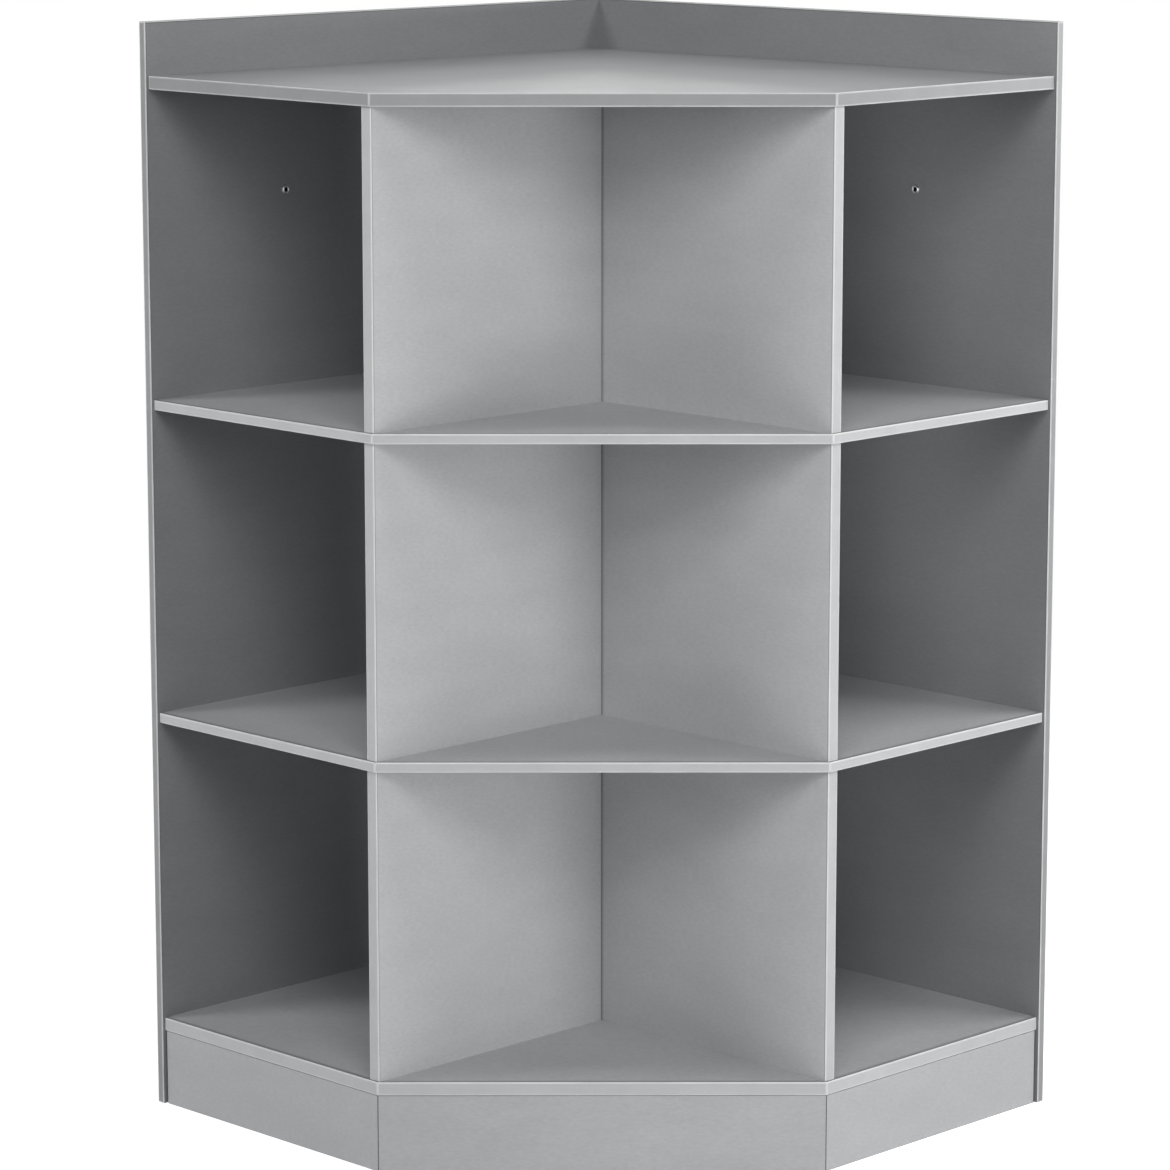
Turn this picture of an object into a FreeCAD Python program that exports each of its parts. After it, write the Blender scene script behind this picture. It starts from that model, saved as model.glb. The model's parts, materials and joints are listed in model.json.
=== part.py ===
"""Corner toy storage shelf in laminated board, free standing, three tiers of open bays.

Two wall panels meet at a right angle in the rear corner. A place in plan is given on one side of the
shelf, left or right, by its distance along that side's wall panel from the inner rear corner, and by
its distance off the panel's inner face, so both sides share one set of sizes.
The finished shelf faces -Y, stands on Z = 0 and is centred over the origin. Sizes are millimetres.
"""
import FreeCAD
import Part
import math
import os

Vector = FreeCAD.Vector

# Whole shelf
wall_length = 575.0  # inner rear corner to the front end of a wall panel
side_bay_width = 280.0  # clear width between a wall panel and its dividers
bay_height = 280.0  # clear height of each tier
plinth_height = 70.0
splash_height = 48.0  # wall panels above the top board

# Board thicknesses
wall_thickness = 8.0
panel_thickness = 12.0  # top and bottom boards
shelf_thickness = 9.0
divider_thickness = 12.0
plinth_thickness = 12.0
band_thickness = 1.0  # strips glued on the edges that show

# Steps between the boards' front edges
shelf_setback = 2.5  # shelf edge behind a wall panel's front end
divider_recess = 2.0  # divider end behind the shelf edge
plinth_inset = 0.5  # plinth face behind the bottom board's edge
plinth_wall_gap = 2.5  # side plinth's end to the wall panel

# Rounded arrises
band_round = 0.7
plinth_round = 0.5
round_limit_share = 0.85  # largest part of a band's thickness that its rounding takes

# Clearances and cuts
fit_gap = 0.1  # around a fastener in its hole
head_sink = 0.2  # fastener heads below the face they sit in
blind_floor = 2.5  # board left under the end of a blind hole
cut_overrun = 1.0  # cuts run past open faces by this much
same_place = 0.001  # two points this near are one

# Countersunk screws through the wall panels
panel_screw_d = 4.0
panel_screw_head_d = 7.6
panel_screw_length = 40.0
shelf_screw_d = 3.5
shelf_screw_head_d = 7.0
shelf_screw_length = 35.0
corner_screw_d = 3.0
corner_screw_head_d = 6.0
corner_screw_length = 30.0
corner_screw_count = 5
corner_screw_end = 60.0  # first and last corner screw from the panel's ends
wall_screw_end = 60.0  # first and last screw from the ends of a board's edge
wall_screw_count = 3

# Cam fittings in the dividers
cam_d = 12.0
cam_from_edge = 24.0  # cam centre to the divider's end
cam_slot_length = 7.0
cam_slot_width = 1.4
cam_slot_depth = 1.6
cam_bolt_d = 5.0
cam_bolt_neck_d = 3.0
cam_bolt_neck_length = 4.0
cam_bolt_head_length = 2.5
cam_bolt_end = 40.0  # cam bolts from the front and rear of the middle bay's face

# Wooden dowels
dowel_d = 6.0
dowel_hold = 14.0  # length in the end of a divider
dowel_chamfer = 0.8
corner_dowel_shares = (0.25, 0.75)  # up the height of a bay

# Metal plates and blocks behind the plinth
plate_thickness = 2.0
plate_leg = 40.0
plate_height = 30.0
plate_screw_spacing = 16.0
plate_screw_d = 3.5
plate_screw_head_d = 6.4
angle_leg = 30.0
block_length = 36.0
block_depth = 16.0
block_screw_d = 3.5
block_screw_head_d = 7.0
block_screw_spacing = 18.0
block_shares = (0.32, 0.68)  # along each plinth board

# Eyelets for the wall screws
eyelet_along = 411.5  # from the inner rear corner
eyelet_drop = 100.0  # below the top board
eyelet_bore_d = 4.0
eyelet_sleeve_d = 6.0
eyelet_rim_d = 8.0
eyelet_rim_wall = 1.3  # straight part of the rim, below its round

# Angles of the plan
front_turn = 45.0  # turn from a side edge to the front edge
full_turn = 360.0
frame_turn = 225.0  # from the plan's axes to the finished shelf
mitre_slope = math.tan(math.radians(front_turn) / 2)
diagonal = math.sqrt(0.5)  # share of a length along each plan axis, on the diagonal

# Heights
bottom_top = plinth_height + panel_thickness
lower_shelf_low = bottom_top + bay_height
lower_shelf_top = lower_shelf_low + shelf_thickness
upper_shelf_low = lower_shelf_top + bay_height
upper_shelf_top = upper_shelf_low + shelf_thickness
top_low = upper_shelf_top + bay_height
wall_height = top_low + panel_thickness + splash_height

# Plan
shelf_reach = wall_length - shelf_setback
divider_reach = shelf_reach - divider_recess
divider_middle = side_bay_width + divider_thickness / 2
centre_face = side_bay_width + divider_thickness  # divider face towards the middle bay
plinth_back = plinth_inset + plinth_thickness  # inner plinth face behind the bottom board's edge

# Depths of blind holes
panel_hold = panel_thickness - blind_floor
divider_hold = divider_thickness - blind_floor
plinth_hold = plinth_thickness - blind_floor
wall_hold = wall_thickness - blind_floor
cam_depth = divider_hold

sides = ("left", "right")
up = Vector(0, 0, 1)
tiers = (("lower", bottom_top), ("middle", lower_shelf_top), ("upper", upper_shelf_top))
panel_lows = (("bottom_panel", plinth_height), ("top_panel", top_low))
shelf_lows = (("lower_shelf", lower_shelf_low), ("upper_shelf", upper_shelf_low))


# Placing

def at(side, along, off, z):
    """A point given along and off one side's wall panel."""
    if side == "left":
        return Vector(along, off, z)
    return Vector(off, along, z)


def along_wall(side):
    """Direction along one side's wall panel, towards the front."""
    return at(side, 1, 0, 0)


def off_wall(side):
    """Direction square off one side's wall panel, into the bays."""
    return at(side, 0, 1, 0)


def slab(side, along, off, z):
    """A square-cut board between two distances along, off and up."""
    low = at(side, along[0], off[0], z[0])
    size = at(side, along[1], off[1], z[1]) - low
    return Part.makeBox(size.x, size.y, size.z, low)


def prism(side, points, low, height):
    """An upright prism over plan points given along and off one side."""
    corners = [at(side, along, off, low) for along, off in points]
    return Part.Face(Part.makePolygon(corners + corners[:1])).extrude(up * height)


def turned(profile, base, direction):
    """A turned solid: radius and height points, closed, about an axis from base."""
    corners = [Vector(radius, 0, height) for radius, height in profile]
    face = Part.Face(Part.makePolygon(corners + corners[:1]))
    return place_turned(face, base, direction)


def place_turned(face, base, direction):
    """Turn a half section about its upright axis and stand it on base along a direction."""
    solid = face.revolve(Vector(0, 0, 0), up, full_turn)
    solid.Placement = FreeCAD.Placement(base, FreeCAD.Rotation(up, direction))
    return solid


def rounded(solid, centres, radius):
    """Round the edges whose middles lie at the given points."""
    edges = []
    for edge in solid.Edges:
        for centre in centres:
            if edge.CenterOfMass.distanceToPoint(centre) < same_place:
                edges.append(edge)
    return solid.makeFillet(radius, edges)


def midway(first, second):
    """The point halfway between two points."""
    return (first + second) / 2


def spread(first, last, count):
    """Evenly spaced places from the first to the last."""
    return [first + (last - first) * step / (count - 1) for step in range(count)]


# Outlines

def outline(inset):
    """Plan of the five-sided boards, drawn in by an inset at the three front edges."""
    reach = shelf_reach - inset
    corner = centre_face - inset * mitre_slope
    return [(0, 0), (reach, 0), (reach, corner), (corner, reach), (0, reach)]


def strip_prism(first, inset, depth, low, height):
    """A mitred strip along one front edge of the outline, with the middles of its outer edges."""
    outer = outline(inset)
    inner = outline(inset + depth)
    points = [outer[first], outer[first + 1], inner[first + 1], inner[first]]
    solid = prism("left", points, low, height)
    start = at("left", *outer[first], low)
    end = at("left", *outer[first + 1], low)
    return solid, start, end


# Boards

def wall_panel(side):
    """Full-height panel behind one side. The left one laps the rear edge of the right one."""
    start = -wall_thickness if side == "left" else 0
    along = (start, wall_length - band_thickness)
    return slab(side, along, (-wall_thickness, 0), (0, wall_height - band_thickness))


def wall_front_band(side):
    """Strip on a wall panel's front end, rounded at both arrises."""
    along = (wall_length - band_thickness, wall_length)
    solid = slab(side, along, (-wall_thickness, 0), (0, wall_height))
    centres = [at(side, wall_length, off, wall_height / 2) for off in (-wall_thickness, 0)]
    return rounded(solid, centres, band_rounding())


def wall_top_band(side):
    """Strip on a wall panel's top edge, rounded at both arrises."""
    start = -wall_thickness if side == "left" else 0
    along = (start, wall_length - band_thickness)
    solid = slab(side, along, (-wall_thickness, 0), (wall_height - band_thickness, wall_height))
    middle = (along[0] + along[1]) / 2
    centres = [at(side, middle, off, wall_height) for off in (-wall_thickness, 0)]
    return rounded(solid, centres, band_rounding())


def band_rounding():
    """Radius of a band's arris, within the band's thickness."""
    return min(band_round, band_thickness * round_limit_share)


def five_sided_boards():
    """Name, underside and thickness of each five-sided board."""
    panels = [(name, low, panel_thickness) for name, low in panel_lows]
    return panels + [(name, low, shelf_thickness) for name, low in shelf_lows]


def five_sided_board(low, thickness):
    """Top, shelf or bottom board without its edge bands."""
    return prism("left", outline(band_thickness), low, thickness)


def edge_bands(low, thickness):
    """Three mitred strips on the front edges of a five-sided board."""
    strips = []
    for first in (1, 2, 3):
        solid, start, end = strip_prism(first, 0, band_thickness, low, thickness)
        middle = midway(start, end)
        strips.append(rounded(solid, [middle, middle + up * thickness], band_rounding()))
    return strips


def divider(side, floor):
    """Upright divider of one tier. The left one runs past the V joint, and the right one butts on it."""
    start = side_bay_width if side == "left" else centre_face
    along = (start, divider_reach - band_thickness)
    return slab(side, along, (side_bay_width, centre_face), (floor, floor + bay_height))


def divider_band(side, floor):
    """Strip on a divider's front end, rounded at both arrises."""
    along = (divider_reach - band_thickness, divider_reach)
    solid = slab(side, along, (side_bay_width, centre_face), (floor, floor + bay_height))
    middle = floor + bay_height / 2
    centres = [at(side, divider_reach, off, middle) for off in (side_bay_width, centre_face)]
    return rounded(solid, centres, band_rounding())


def plinth_front():
    """Front kick board, mitred at both ends."""
    solid, start, end = strip_prism(2, plinth_inset, plinth_thickness, 0, plinth_height)
    half = up * (plinth_height / 2)
    centres = [midway(start, end) + up * plinth_height, start + half, end + half]
    return rounded(solid, centres, plinth_round)


def plinth_side(side):
    """Side kick board, mitred at the front and stopped short of the wall panel."""
    outer = outline(plinth_inset)[2]
    inner = outline(plinth_back)[2]
    points = [(outer[0], plinth_wall_gap), outer, inner, (inner[0], plinth_wall_gap)]
    solid = prism(side, points, 0, plinth_height)
    middle = (plinth_wall_gap + outer[1]) / 2
    centres = [
        at(side, outer[0], middle, plinth_height),
        at(side, *outer, plinth_height / 2),
        at(side, outer[0], plinth_wall_gap, plinth_height / 2),
    ]
    return rounded(solid, centres, plinth_round)


# Fasteners, each as the piece and the hole that it needs

def countersunk_screw(base, direction, thread, head, length):
    """A countersunk screw whose head lies just under the face at base, and its hole."""
    cone = (head - thread) / 2
    profile = [
        (0, head_sink),
        (head / 2, head_sink),
        (thread / 2, head_sink + cone),
        (thread / 2, length - thread),
        (0, length),
    ]
    hole_head = head / 2 + fit_gap
    hole_thread = thread / 2 + fit_gap
    hole = [
        (0, -cut_overrun),
        (hole_head, -cut_overrun),
        (hole_head, head_sink),
        (hole_thread, head_sink + cone),
        (hole_thread, length - thread),
        (0, length + fit_gap),
    ]
    return turned(profile, base, direction), turned(hole, base, direction)


def rod_hole(base, direction, diameter, length):
    """The round hole for a rod, with the clearance all round and at both ends."""
    start = base - direction * fit_gap
    return Part.makeCylinder(diameter / 2 + fit_gap, length + fit_gap + fit_gap, start, direction)


def dowel(base, direction, length):
    """A wooden dowel with chamfered ends, and its hole."""
    radius = dowel_d / 2
    profile = [
        (0, 0),
        (radius - dowel_chamfer, 0),
        (radius, dowel_chamfer),
        (radius, length - dowel_chamfer),
        (radius - dowel_chamfer, length),
        (0, length),
    ]
    return turned(profile, base, direction), rod_hole(base, direction, dowel_d, length)


def cam_bolt_tip(cam_centre):
    """Half section of a cam bolt's necked tip, its head held at the cam's centre."""
    head_start = cam_centre - cam_bolt_head_length / 2
    neck_start = head_start - cam_bolt_neck_length
    return [
        (cam_bolt_d / 2, neck_start),
        (cam_bolt_neck_d / 2, neck_start),
        (cam_bolt_neck_d / 2, head_start),
        (cam_bolt_d / 2, head_start),
        (cam_bolt_d / 2, cam_centre + cam_bolt_head_length / 2),
        (0, cam_centre + cam_bolt_head_length / 2),
    ]


def cam_bolt(base, direction, hold):
    """A bolt screwed into a board, with its head in a cam, and its hole."""
    cam_centre = hold + cam_from_edge
    profile = [(0, 0), (cam_bolt_d / 2, 0)] + cam_bolt_tip(cam_centre)
    hole = rod_hole(base, direction, cam_bolt_d, cam_centre)
    return turned(profile, base, direction), hole


def through_cam_bolt(base):
    """A two-ended bolt up through a shelf, from the cam below to the cam above, and its hole."""
    tip = cam_bolt_tip(cam_from_edge + shelf_thickness / 2)
    mirrored = [(radius, -height) for radius, height in reversed(tip)]
    middle = base + up * (cam_from_edge + shelf_thickness / 2)
    hole = rod_hole(base, up, cam_bolt_d, cam_from_edge + cam_from_edge + shelf_thickness)
    return turned(mirrored + tip, middle, up), hole


def cam_lock(side, along, z, towards_end):
    """A cam in its pocket in the outer face of a divider, bored for the bolt's head, and the pocket."""
    inward = off_wall(side)
    face = at(side, along, side_bay_width, z)
    seat = face + inward * head_sink
    body = Part.makeCylinder(cam_d / 2, cam_depth - head_sink - fit_gap, seat, inward)
    axis = at(side, along, divider_middle, z)
    reach = cam_d / 2 + cut_overrun
    bore_start = axis - towards_end * (cam_bolt_head_length / 2 + fit_gap)
    bore_length = reach + cam_bolt_head_length
    bore = Part.makeCylinder(cam_bolt_d / 2 + fit_gap, bore_length, bore_start, towards_end)
    slots = []
    for length, height in ((cam_slot_length, cam_slot_width), (cam_slot_width, cam_slot_length)):
        span = (along - length / 2, along + length / 2)
        depth = (side_bay_width, side_bay_width + head_sink + cam_slot_depth)
        slots.append(slab(side, span, depth, (z - height / 2, z + height / 2)))
    pocket_start = face - inward * cut_overrun
    pocket = Part.makeCylinder(cam_d / 2 + fit_gap, cam_depth + cut_overrun, pocket_start, inward)
    return body.cut([bore] + slots), pocket


def wall_eyelet(side):
    """A flanged metal eyelet lining the wall-screw hole, with a rolled rim in the bay, and its hole."""
    height = top_low - eyelet_drop
    inward = off_wall(side)
    base = at(side, eyelet_along, -wall_thickness, height)
    bore = eyelet_bore_d / 2
    rim = eyelet_rim_d / 2
    rim_top = wall_thickness + eyelet_rim_wall
    points = [
        (bore, rim_top),
        (bore, head_sink),
        (eyelet_sleeve_d / 2, head_sink),
        (eyelet_sleeve_d / 2, wall_thickness),
        (rim, wall_thickness),
        (rim, rim_top),
    ]
    corners = [Vector(radius, 0, level) for radius, level in points]
    crown = Vector((bore + rim) / 2, 0, rim_top + (rim - bore) / 2)
    roll = Part.Arc(corners[-1], crown, corners[0]).toShape()
    section = Part.Face(Part.Wire(Part.makePolygon(corners).Edges + [roll]))
    hole = rod_hole(base - inward * cut_overrun, inward, eyelet_sleeve_d, wall_thickness + cut_overrun)
    return place_turned(section, base, inward), hole


# Sets of fasteners

def wall_screw_set(lows, thickness, thread, head, length):
    """Screws through both wall panels into the edges of boards of one thickness."""
    screws = []
    for _, low in lows:
        for side in sides:
            for along in spread(wall_screw_end, shelf_reach - wall_screw_end, wall_screw_count):
                base = at(side, along, -wall_thickness, low + thickness / 2)
                screws.append(countersunk_screw(base, off_wall(side), thread, head, length))
    return screws


def corner_screw_set():
    """Screws through the left wall panel into the rear edge of the right one."""
    screws = []
    for height in spread(corner_screw_end, wall_height - corner_screw_end, corner_screw_count):
        base = at("left", -wall_thickness / 2, -wall_thickness, height)
        size = (corner_screw_d, corner_screw_head_d, corner_screw_length)
        screws.append(countersunk_screw(base, off_wall("left"), *size))
    return screws


def cam_places():
    """Distances along a divider of its two cam bolts."""
    return (centre_face + cam_bolt_end, divider_reach - cam_bolt_end)


def dowel_place():
    """Distance along a divider of its dowel, midway between the cam bolts."""
    return sum(cam_places()) / len(cam_places())


def cam_lock_set():
    """Cams at the foot and head of every divider."""
    cams = []
    for side in sides:
        for _, floor in tiers:
            for along in cam_places():
                cams.append(cam_lock(side, along, floor + cam_from_edge, -up))
                cams.append(cam_lock(side, along, floor + bay_height - cam_from_edge, up))
    return cams


def cam_bolt_set():
    """Bolts down from the top board and up from the bottom board."""
    bolts = []
    for side in sides:
        for along in cam_places():
            head = at(side, along, divider_middle, top_low + panel_hold)
            foot = at(side, along, divider_middle, bottom_top - panel_hold)
            bolts.append(cam_bolt(head, -up, panel_hold))
            bolts.append(cam_bolt(foot, up, panel_hold))
    return bolts


def through_cam_bolt_set():
    """Two-ended bolts through both shelves."""
    bolts = []
    for side in sides:
        for _, shelf_low in shelf_lows:
            for along in cam_places():
                bolts.append(through_cam_bolt(at(side, along, divider_middle, shelf_low - cam_from_edge)))
    return bolts


def end_dowel_set():
    """Dowels between the dividers and the top and bottom boards."""
    dowels = []
    length = panel_hold + dowel_hold
    for side in sides:
        foot = at(side, dowel_place(), divider_middle, bottom_top - panel_hold)
        head = at(side, dowel_place(), divider_middle, top_low - dowel_hold)
        dowels.append(dowel(foot, up, length))
        dowels.append(dowel(head, up, length))
    return dowels


def through_dowel_set():
    """Dowels through both shelves into the dividers above and below."""
    dowels = []
    length = shelf_thickness + dowel_hold + dowel_hold
    for side in sides:
        for _, shelf_low in shelf_lows:
            foot = at(side, dowel_place(), divider_middle, shelf_low - dowel_hold)
            dowels.append(dowel(foot, up, length))
    return dowels


def corner_dowel_set():
    """Dowels from the left divider's face into the rear edge of the right divider."""
    dowels = []
    for _, floor in tiers:
        for share in corner_dowel_shares:
            base = at("right", centre_face - divider_hold, divider_middle, floor + bay_height * share)
            dowels.append(dowel(base, along_wall("right"), divider_hold + dowel_hold))
    return dowels


# Plinth fittings

def corner_plate(side):
    """Bent plate behind the mitre between a side plinth and the front one."""
    outer = outline(plinth_back)[2]
    inner = outline(plinth_back + plate_thickness)[2]
    step = plate_leg * diagonal
    lift = plate_thickness * diagonal
    points = [
        (outer[0], outer[1] - plate_leg),
        outer,
        (outer[0] - step, outer[1] + step),
        (outer[0] - step - lift, outer[1] + step - lift),
        inner,
        (inner[0], outer[1] - plate_leg),
    ]
    low = (plinth_height - plate_height) / 2
    return prism(side, points, low, plate_height)


def plate_screw(base, direction, hold):
    """A short screw through a plate into a board, and its hole."""
    return countersunk_screw(base, direction, plate_screw_d, plate_screw_head_d, plate_thickness + hold)


def corner_plate_screws(side):
    """Two screws in each leg of a corner plate."""
    outer = outline(plinth_back)[2]
    step = plate_leg / 2 * diagonal
    lift = plate_thickness * diagonal
    screws = []
    for height in plate_screw_heights():
        side_base = at(side, outer[0] - plate_thickness, outer[1] - plate_leg / 2, height)
        screws.append(plate_screw(side_base, along_wall(side), plinth_hold))
        front_base = at(side, outer[0] - step - lift, outer[1] + step - lift, height)
        screws.append(plate_screw(front_base, at(side, diagonal, diagonal, 0), plinth_hold))
    return screws


def plate_screw_heights():
    """Heights of the screws in plates and angles."""
    middle = plinth_height / 2
    return (middle - plate_screw_spacing / 2, middle + plate_screw_spacing / 2)


def wall_angle(side):
    """Angle in the corner between a side plinth and its wall panel."""
    face = outline(plinth_back)[1][0]
    points = [
        (face, 0),
        (face, angle_leg),
        (face - plate_thickness, angle_leg),
        (face - plate_thickness, plate_thickness),
        (face - angle_leg, plate_thickness),
        (face - angle_leg, 0),
    ]
    low = (plinth_height - plate_height) / 2
    return prism(side, points, low, plate_height)


def wall_angle_screws(side):
    """Two screws in each leg of a wall angle."""
    face = outline(plinth_back)[1][0]
    middle = (plate_thickness + angle_leg) / 2
    screws = []
    for height in plate_screw_heights():
        plinth_base = at(side, face - plate_thickness, middle, height)
        screws.append(plate_screw(plinth_base, along_wall(side), plinth_hold))
        wall_base = at(side, face - middle, plate_thickness, height)
        screws.append(plate_screw(wall_base, -off_wall(side), wall_hold))
    return screws


def block_seats():
    """Where the blocks stand: foot of the plinth's inner face, its run and its inward direction."""
    corners = [at("left", *point, 0) for point in outline(plinth_back)]
    seats = []
    for first in (1, 2, 3):
        run = corners[first + 1] - corners[first]
        inward = Vector(-run.y, run.x, 0)
        inward.normalize()
        for share in block_shares:
            middle = corners[first] + run * share
            along = Vector(run).normalize()
            seats.append((middle, along, inward))
    return seats


def plinth_block(seat):
    """Block in the corner between a plinth board and the bottom board."""
    middle, along, inward = seat
    start = middle - along * (block_length / 2) + up * (plinth_height - block_depth)
    base = [start, start + along * block_length]
    base += [base[1] + inward * block_depth, base[0] + inward * block_depth]
    return Part.Face(Part.makePolygon(base + base[:1])).extrude(up * block_depth)


def plinth_block_screws(seat):
    """One screw from a block into the plinth and one up into the bottom board."""
    middle, along, inward = seat
    half = along * (block_screw_spacing / 2)
    plinth_base = middle - half + inward * block_depth + up * (plinth_height - block_depth / 2)
    board_base = middle + half + inward * (block_depth / 2) + up * (plinth_height - block_depth)
    size = (block_screw_d, block_screw_head_d)
    into_plinth = countersunk_screw(plinth_base, -inward, *size, block_depth + plinth_hold)
    into_board = countersunk_screw(board_base, up, *size, block_depth + panel_hold)
    return [into_plinth, into_board]


# Assembly

def board_nodes():
    """Every board and metal plate before its holes are cut, by node name."""
    nodes = {}
    for side in sides:
        nodes["wall_panel_" + side] = [wall_panel(side)]
        nodes["plinth_" + side] = [plinth_side(side)]
        for tier, floor in tiers:
            nodes[tier + "_divider_" + side] = [divider(side, floor)]
    for name, low, thickness in five_sided_boards():
        nodes[name] = [five_sided_board(low, thickness)]
    nodes["plinth_front"] = [plinth_front()]
    nodes["plinth_corner_plates"] = [corner_plate(side) for side in sides]
    nodes["wall_angles"] = [wall_angle(side) for side in sides]
    nodes["plinth_blocks"] = [plinth_block(seat) for seat in block_seats()]
    return nodes


def band_nodes():
    """Every edge band, by node name."""
    nodes = {}
    for side in sides:
        nodes["wall_panel_" + side + "_front_band"] = [wall_front_band(side)]
        nodes["wall_panel_" + side + "_top_band"] = [wall_top_band(side)]
        for tier, floor in tiers:
            nodes[tier + "_divider_" + side + "_band"] = [divider_band(side, floor)]
    for name, low, thickness in five_sided_boards():
        nodes[name + "_bands"] = edge_bands(low, thickness)
    return nodes


def fastener_nodes():
    """Every set of fasteners as pairs of piece and hole, by node name."""
    plate_screws = []
    for side in sides:
        plate_screws += corner_plate_screws(side) + wall_angle_screws(side)
    block_screws = []
    for seat in block_seats():
        block_screws += plinth_block_screws(seat)
    panel_size = (panel_screw_d, panel_screw_head_d, panel_screw_length)
    shelf_size = (shelf_screw_d, shelf_screw_head_d, shelf_screw_length)
    return {
        "panel_screws": wall_screw_set(panel_lows, panel_thickness, *panel_size),
        "shelf_screws": wall_screw_set(shelf_lows, shelf_thickness, *shelf_size),
        "corner_screws": corner_screw_set(),
        "cam_locks": cam_lock_set(),
        "cam_bolts": cam_bolt_set(),
        "through_cam_bolts": through_cam_bolt_set(),
        "end_dowels": end_dowel_set(),
        "through_dowels": through_dowel_set(),
        "corner_dowels": corner_dowel_set(),
        "plate_screws": plate_screws,
        "block_screws": block_screws,
        "wall_eyelets": [wall_eyelet(side) for side in sides],
    }


def drilled(solid, holes):
    """A solid with every hole that reaches it cut out."""
    near = [hole for hole in holes if hole.BoundBox.intersect(solid.BoundBox)]
    if not near:
        return solid
    return solid.cut(near).Solids[0]


def frame_offset():
    """Shift along Y that centres the finished shelf over the origin."""
    front = (shelf_reach + centre_face) * diagonal
    rear = (wall_thickness + wall_thickness) * diagonal
    return (front - rear) / 2


def write_node(name, solids):
    """Turn a node's solids into the finished frame and write them as one file."""
    turn = FreeCAD.Rotation(up, frame_turn)
    frame = FreeCAD.Placement(Vector(0, frame_offset(), 0), turn)
    placed = []
    for solid in solids:
        copy = solid.copy()
        copy.Placement = frame.multiply(copy.Placement)
        placed.append(copy)
    shape = placed[0] if len(placed) == 1 else Part.makeCompound(placed)
    shape.exportStep(os.path.join("parts", name + ".step"))


def main():
    """Build every node and write it."""
    os.makedirs("parts", exist_ok=True)
    fasteners = fastener_nodes()
    holes = [hole for pairs in fasteners.values() for _, hole in pairs]
    for name, solids in board_nodes().items():
        write_node(name, [drilled(solid, holes) for solid in solids])
    for name, solids in band_nodes().items():
        write_node(name, solids)
    for name, pairs in fasteners.items():
        write_node(name, [piece for piece, _ in pairs])


main()
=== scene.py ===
"""Looks of a corner toy storage shelf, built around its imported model.

Boards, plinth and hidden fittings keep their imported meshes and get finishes. Edge strips, screws,
cams and eyelets are modelled again in more detail, and a plain studio stands round the shelf.
Lengths are metres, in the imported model's own frame.
"""
import json
import math
from collections import namedtuple

import bmesh
import bpy
import numpy
from bpy.props import FloatProperty, FloatVectorProperty, IntProperty, PointerProperty
from mathutils import Matrix, Vector


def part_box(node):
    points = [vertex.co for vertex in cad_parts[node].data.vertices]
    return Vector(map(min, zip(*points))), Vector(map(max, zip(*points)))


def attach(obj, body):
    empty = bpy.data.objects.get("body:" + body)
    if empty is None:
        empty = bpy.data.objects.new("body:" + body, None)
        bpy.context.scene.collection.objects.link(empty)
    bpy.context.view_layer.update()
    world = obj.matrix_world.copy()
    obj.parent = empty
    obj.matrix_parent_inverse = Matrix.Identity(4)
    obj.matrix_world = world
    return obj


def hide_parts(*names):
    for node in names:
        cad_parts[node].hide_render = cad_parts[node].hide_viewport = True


bl_info = {
    "name": "Corner toy shelf",
    "version": (1, 0, 0),
    "blender": (4, 5, 0),
    "location": "3D View > Sidebar > Shelf",
    "description": "Finishes, edging, fittings and studio for a corner toy storage shelf",
    "category": "Object",
}

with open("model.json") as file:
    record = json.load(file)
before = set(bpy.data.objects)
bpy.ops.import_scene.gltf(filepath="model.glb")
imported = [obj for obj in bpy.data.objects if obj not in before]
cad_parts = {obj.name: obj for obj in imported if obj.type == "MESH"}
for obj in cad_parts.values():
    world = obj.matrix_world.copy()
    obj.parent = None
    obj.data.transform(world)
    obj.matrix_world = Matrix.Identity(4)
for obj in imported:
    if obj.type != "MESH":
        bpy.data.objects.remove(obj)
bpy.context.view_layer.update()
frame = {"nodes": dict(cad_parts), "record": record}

# Plan of the shelf: the two wall panels run along these directions, from the rear corner to the front
diagonal = math.sqrt(0.5)
plan_axes = (Vector((-diagonal, -diagonal, 0)), Vector((diagonal, -diagonal, 0)), Vector((0, 0, 1)))
LEFT, RIGHT, UP = range(3)
front_way = Vector((0, -1, 0))
tiers = ("lower", "middle", "upper")
shelf_boards = ("bottom_panel", "lower_shelf", "upper_shelf")
quarter_turn = math.pi / 2

# Angles past which an arris is sharp, on pieces built here and on fittings cut by Geometry Nodes
built_crease = math.radians(40)
cut_crease = math.radians(30)

# Corners nearer than this are one
merge_distance = 0.000002


def slot_colour(slot):
    """Base colour of one of the record's material slots."""
    for entry in frame["record"]["materials"]:
        if entry["slot"] == slot:
            return tuple(entry["base_color"])
    raise KeyError(slot)


# Settings

def colour_setting(label, text, default):
    """A colour that a user can change."""
    return FloatVectorProperty(
        name=label, description=text, default=default, subtype="COLOR", size=3, min=0, max=1)


def length_setting(label, text, default):
    """A length that a user can change."""
    return FloatProperty(name=label, description=text, default=default, min=0, unit="LENGTH", precision=5)


def share_setting(label, text, default):
    """A share from none to all that a user can change."""
    return FloatProperty(name=label, description=text, default=default, min=0, max=1, subtype="FACTOR")


def power_setting(label, text, default):
    """A lamp's power that a user can change."""
    return FloatProperty(name=label, description=text, default=default, min=0, unit="POWER")


def place_setting(label, text, default):
    """A place that a user can change."""
    return FloatVectorProperty(
        name=label, description=text, default=default, subtype="TRANSLATION", unit="LENGTH", size=3)


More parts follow.
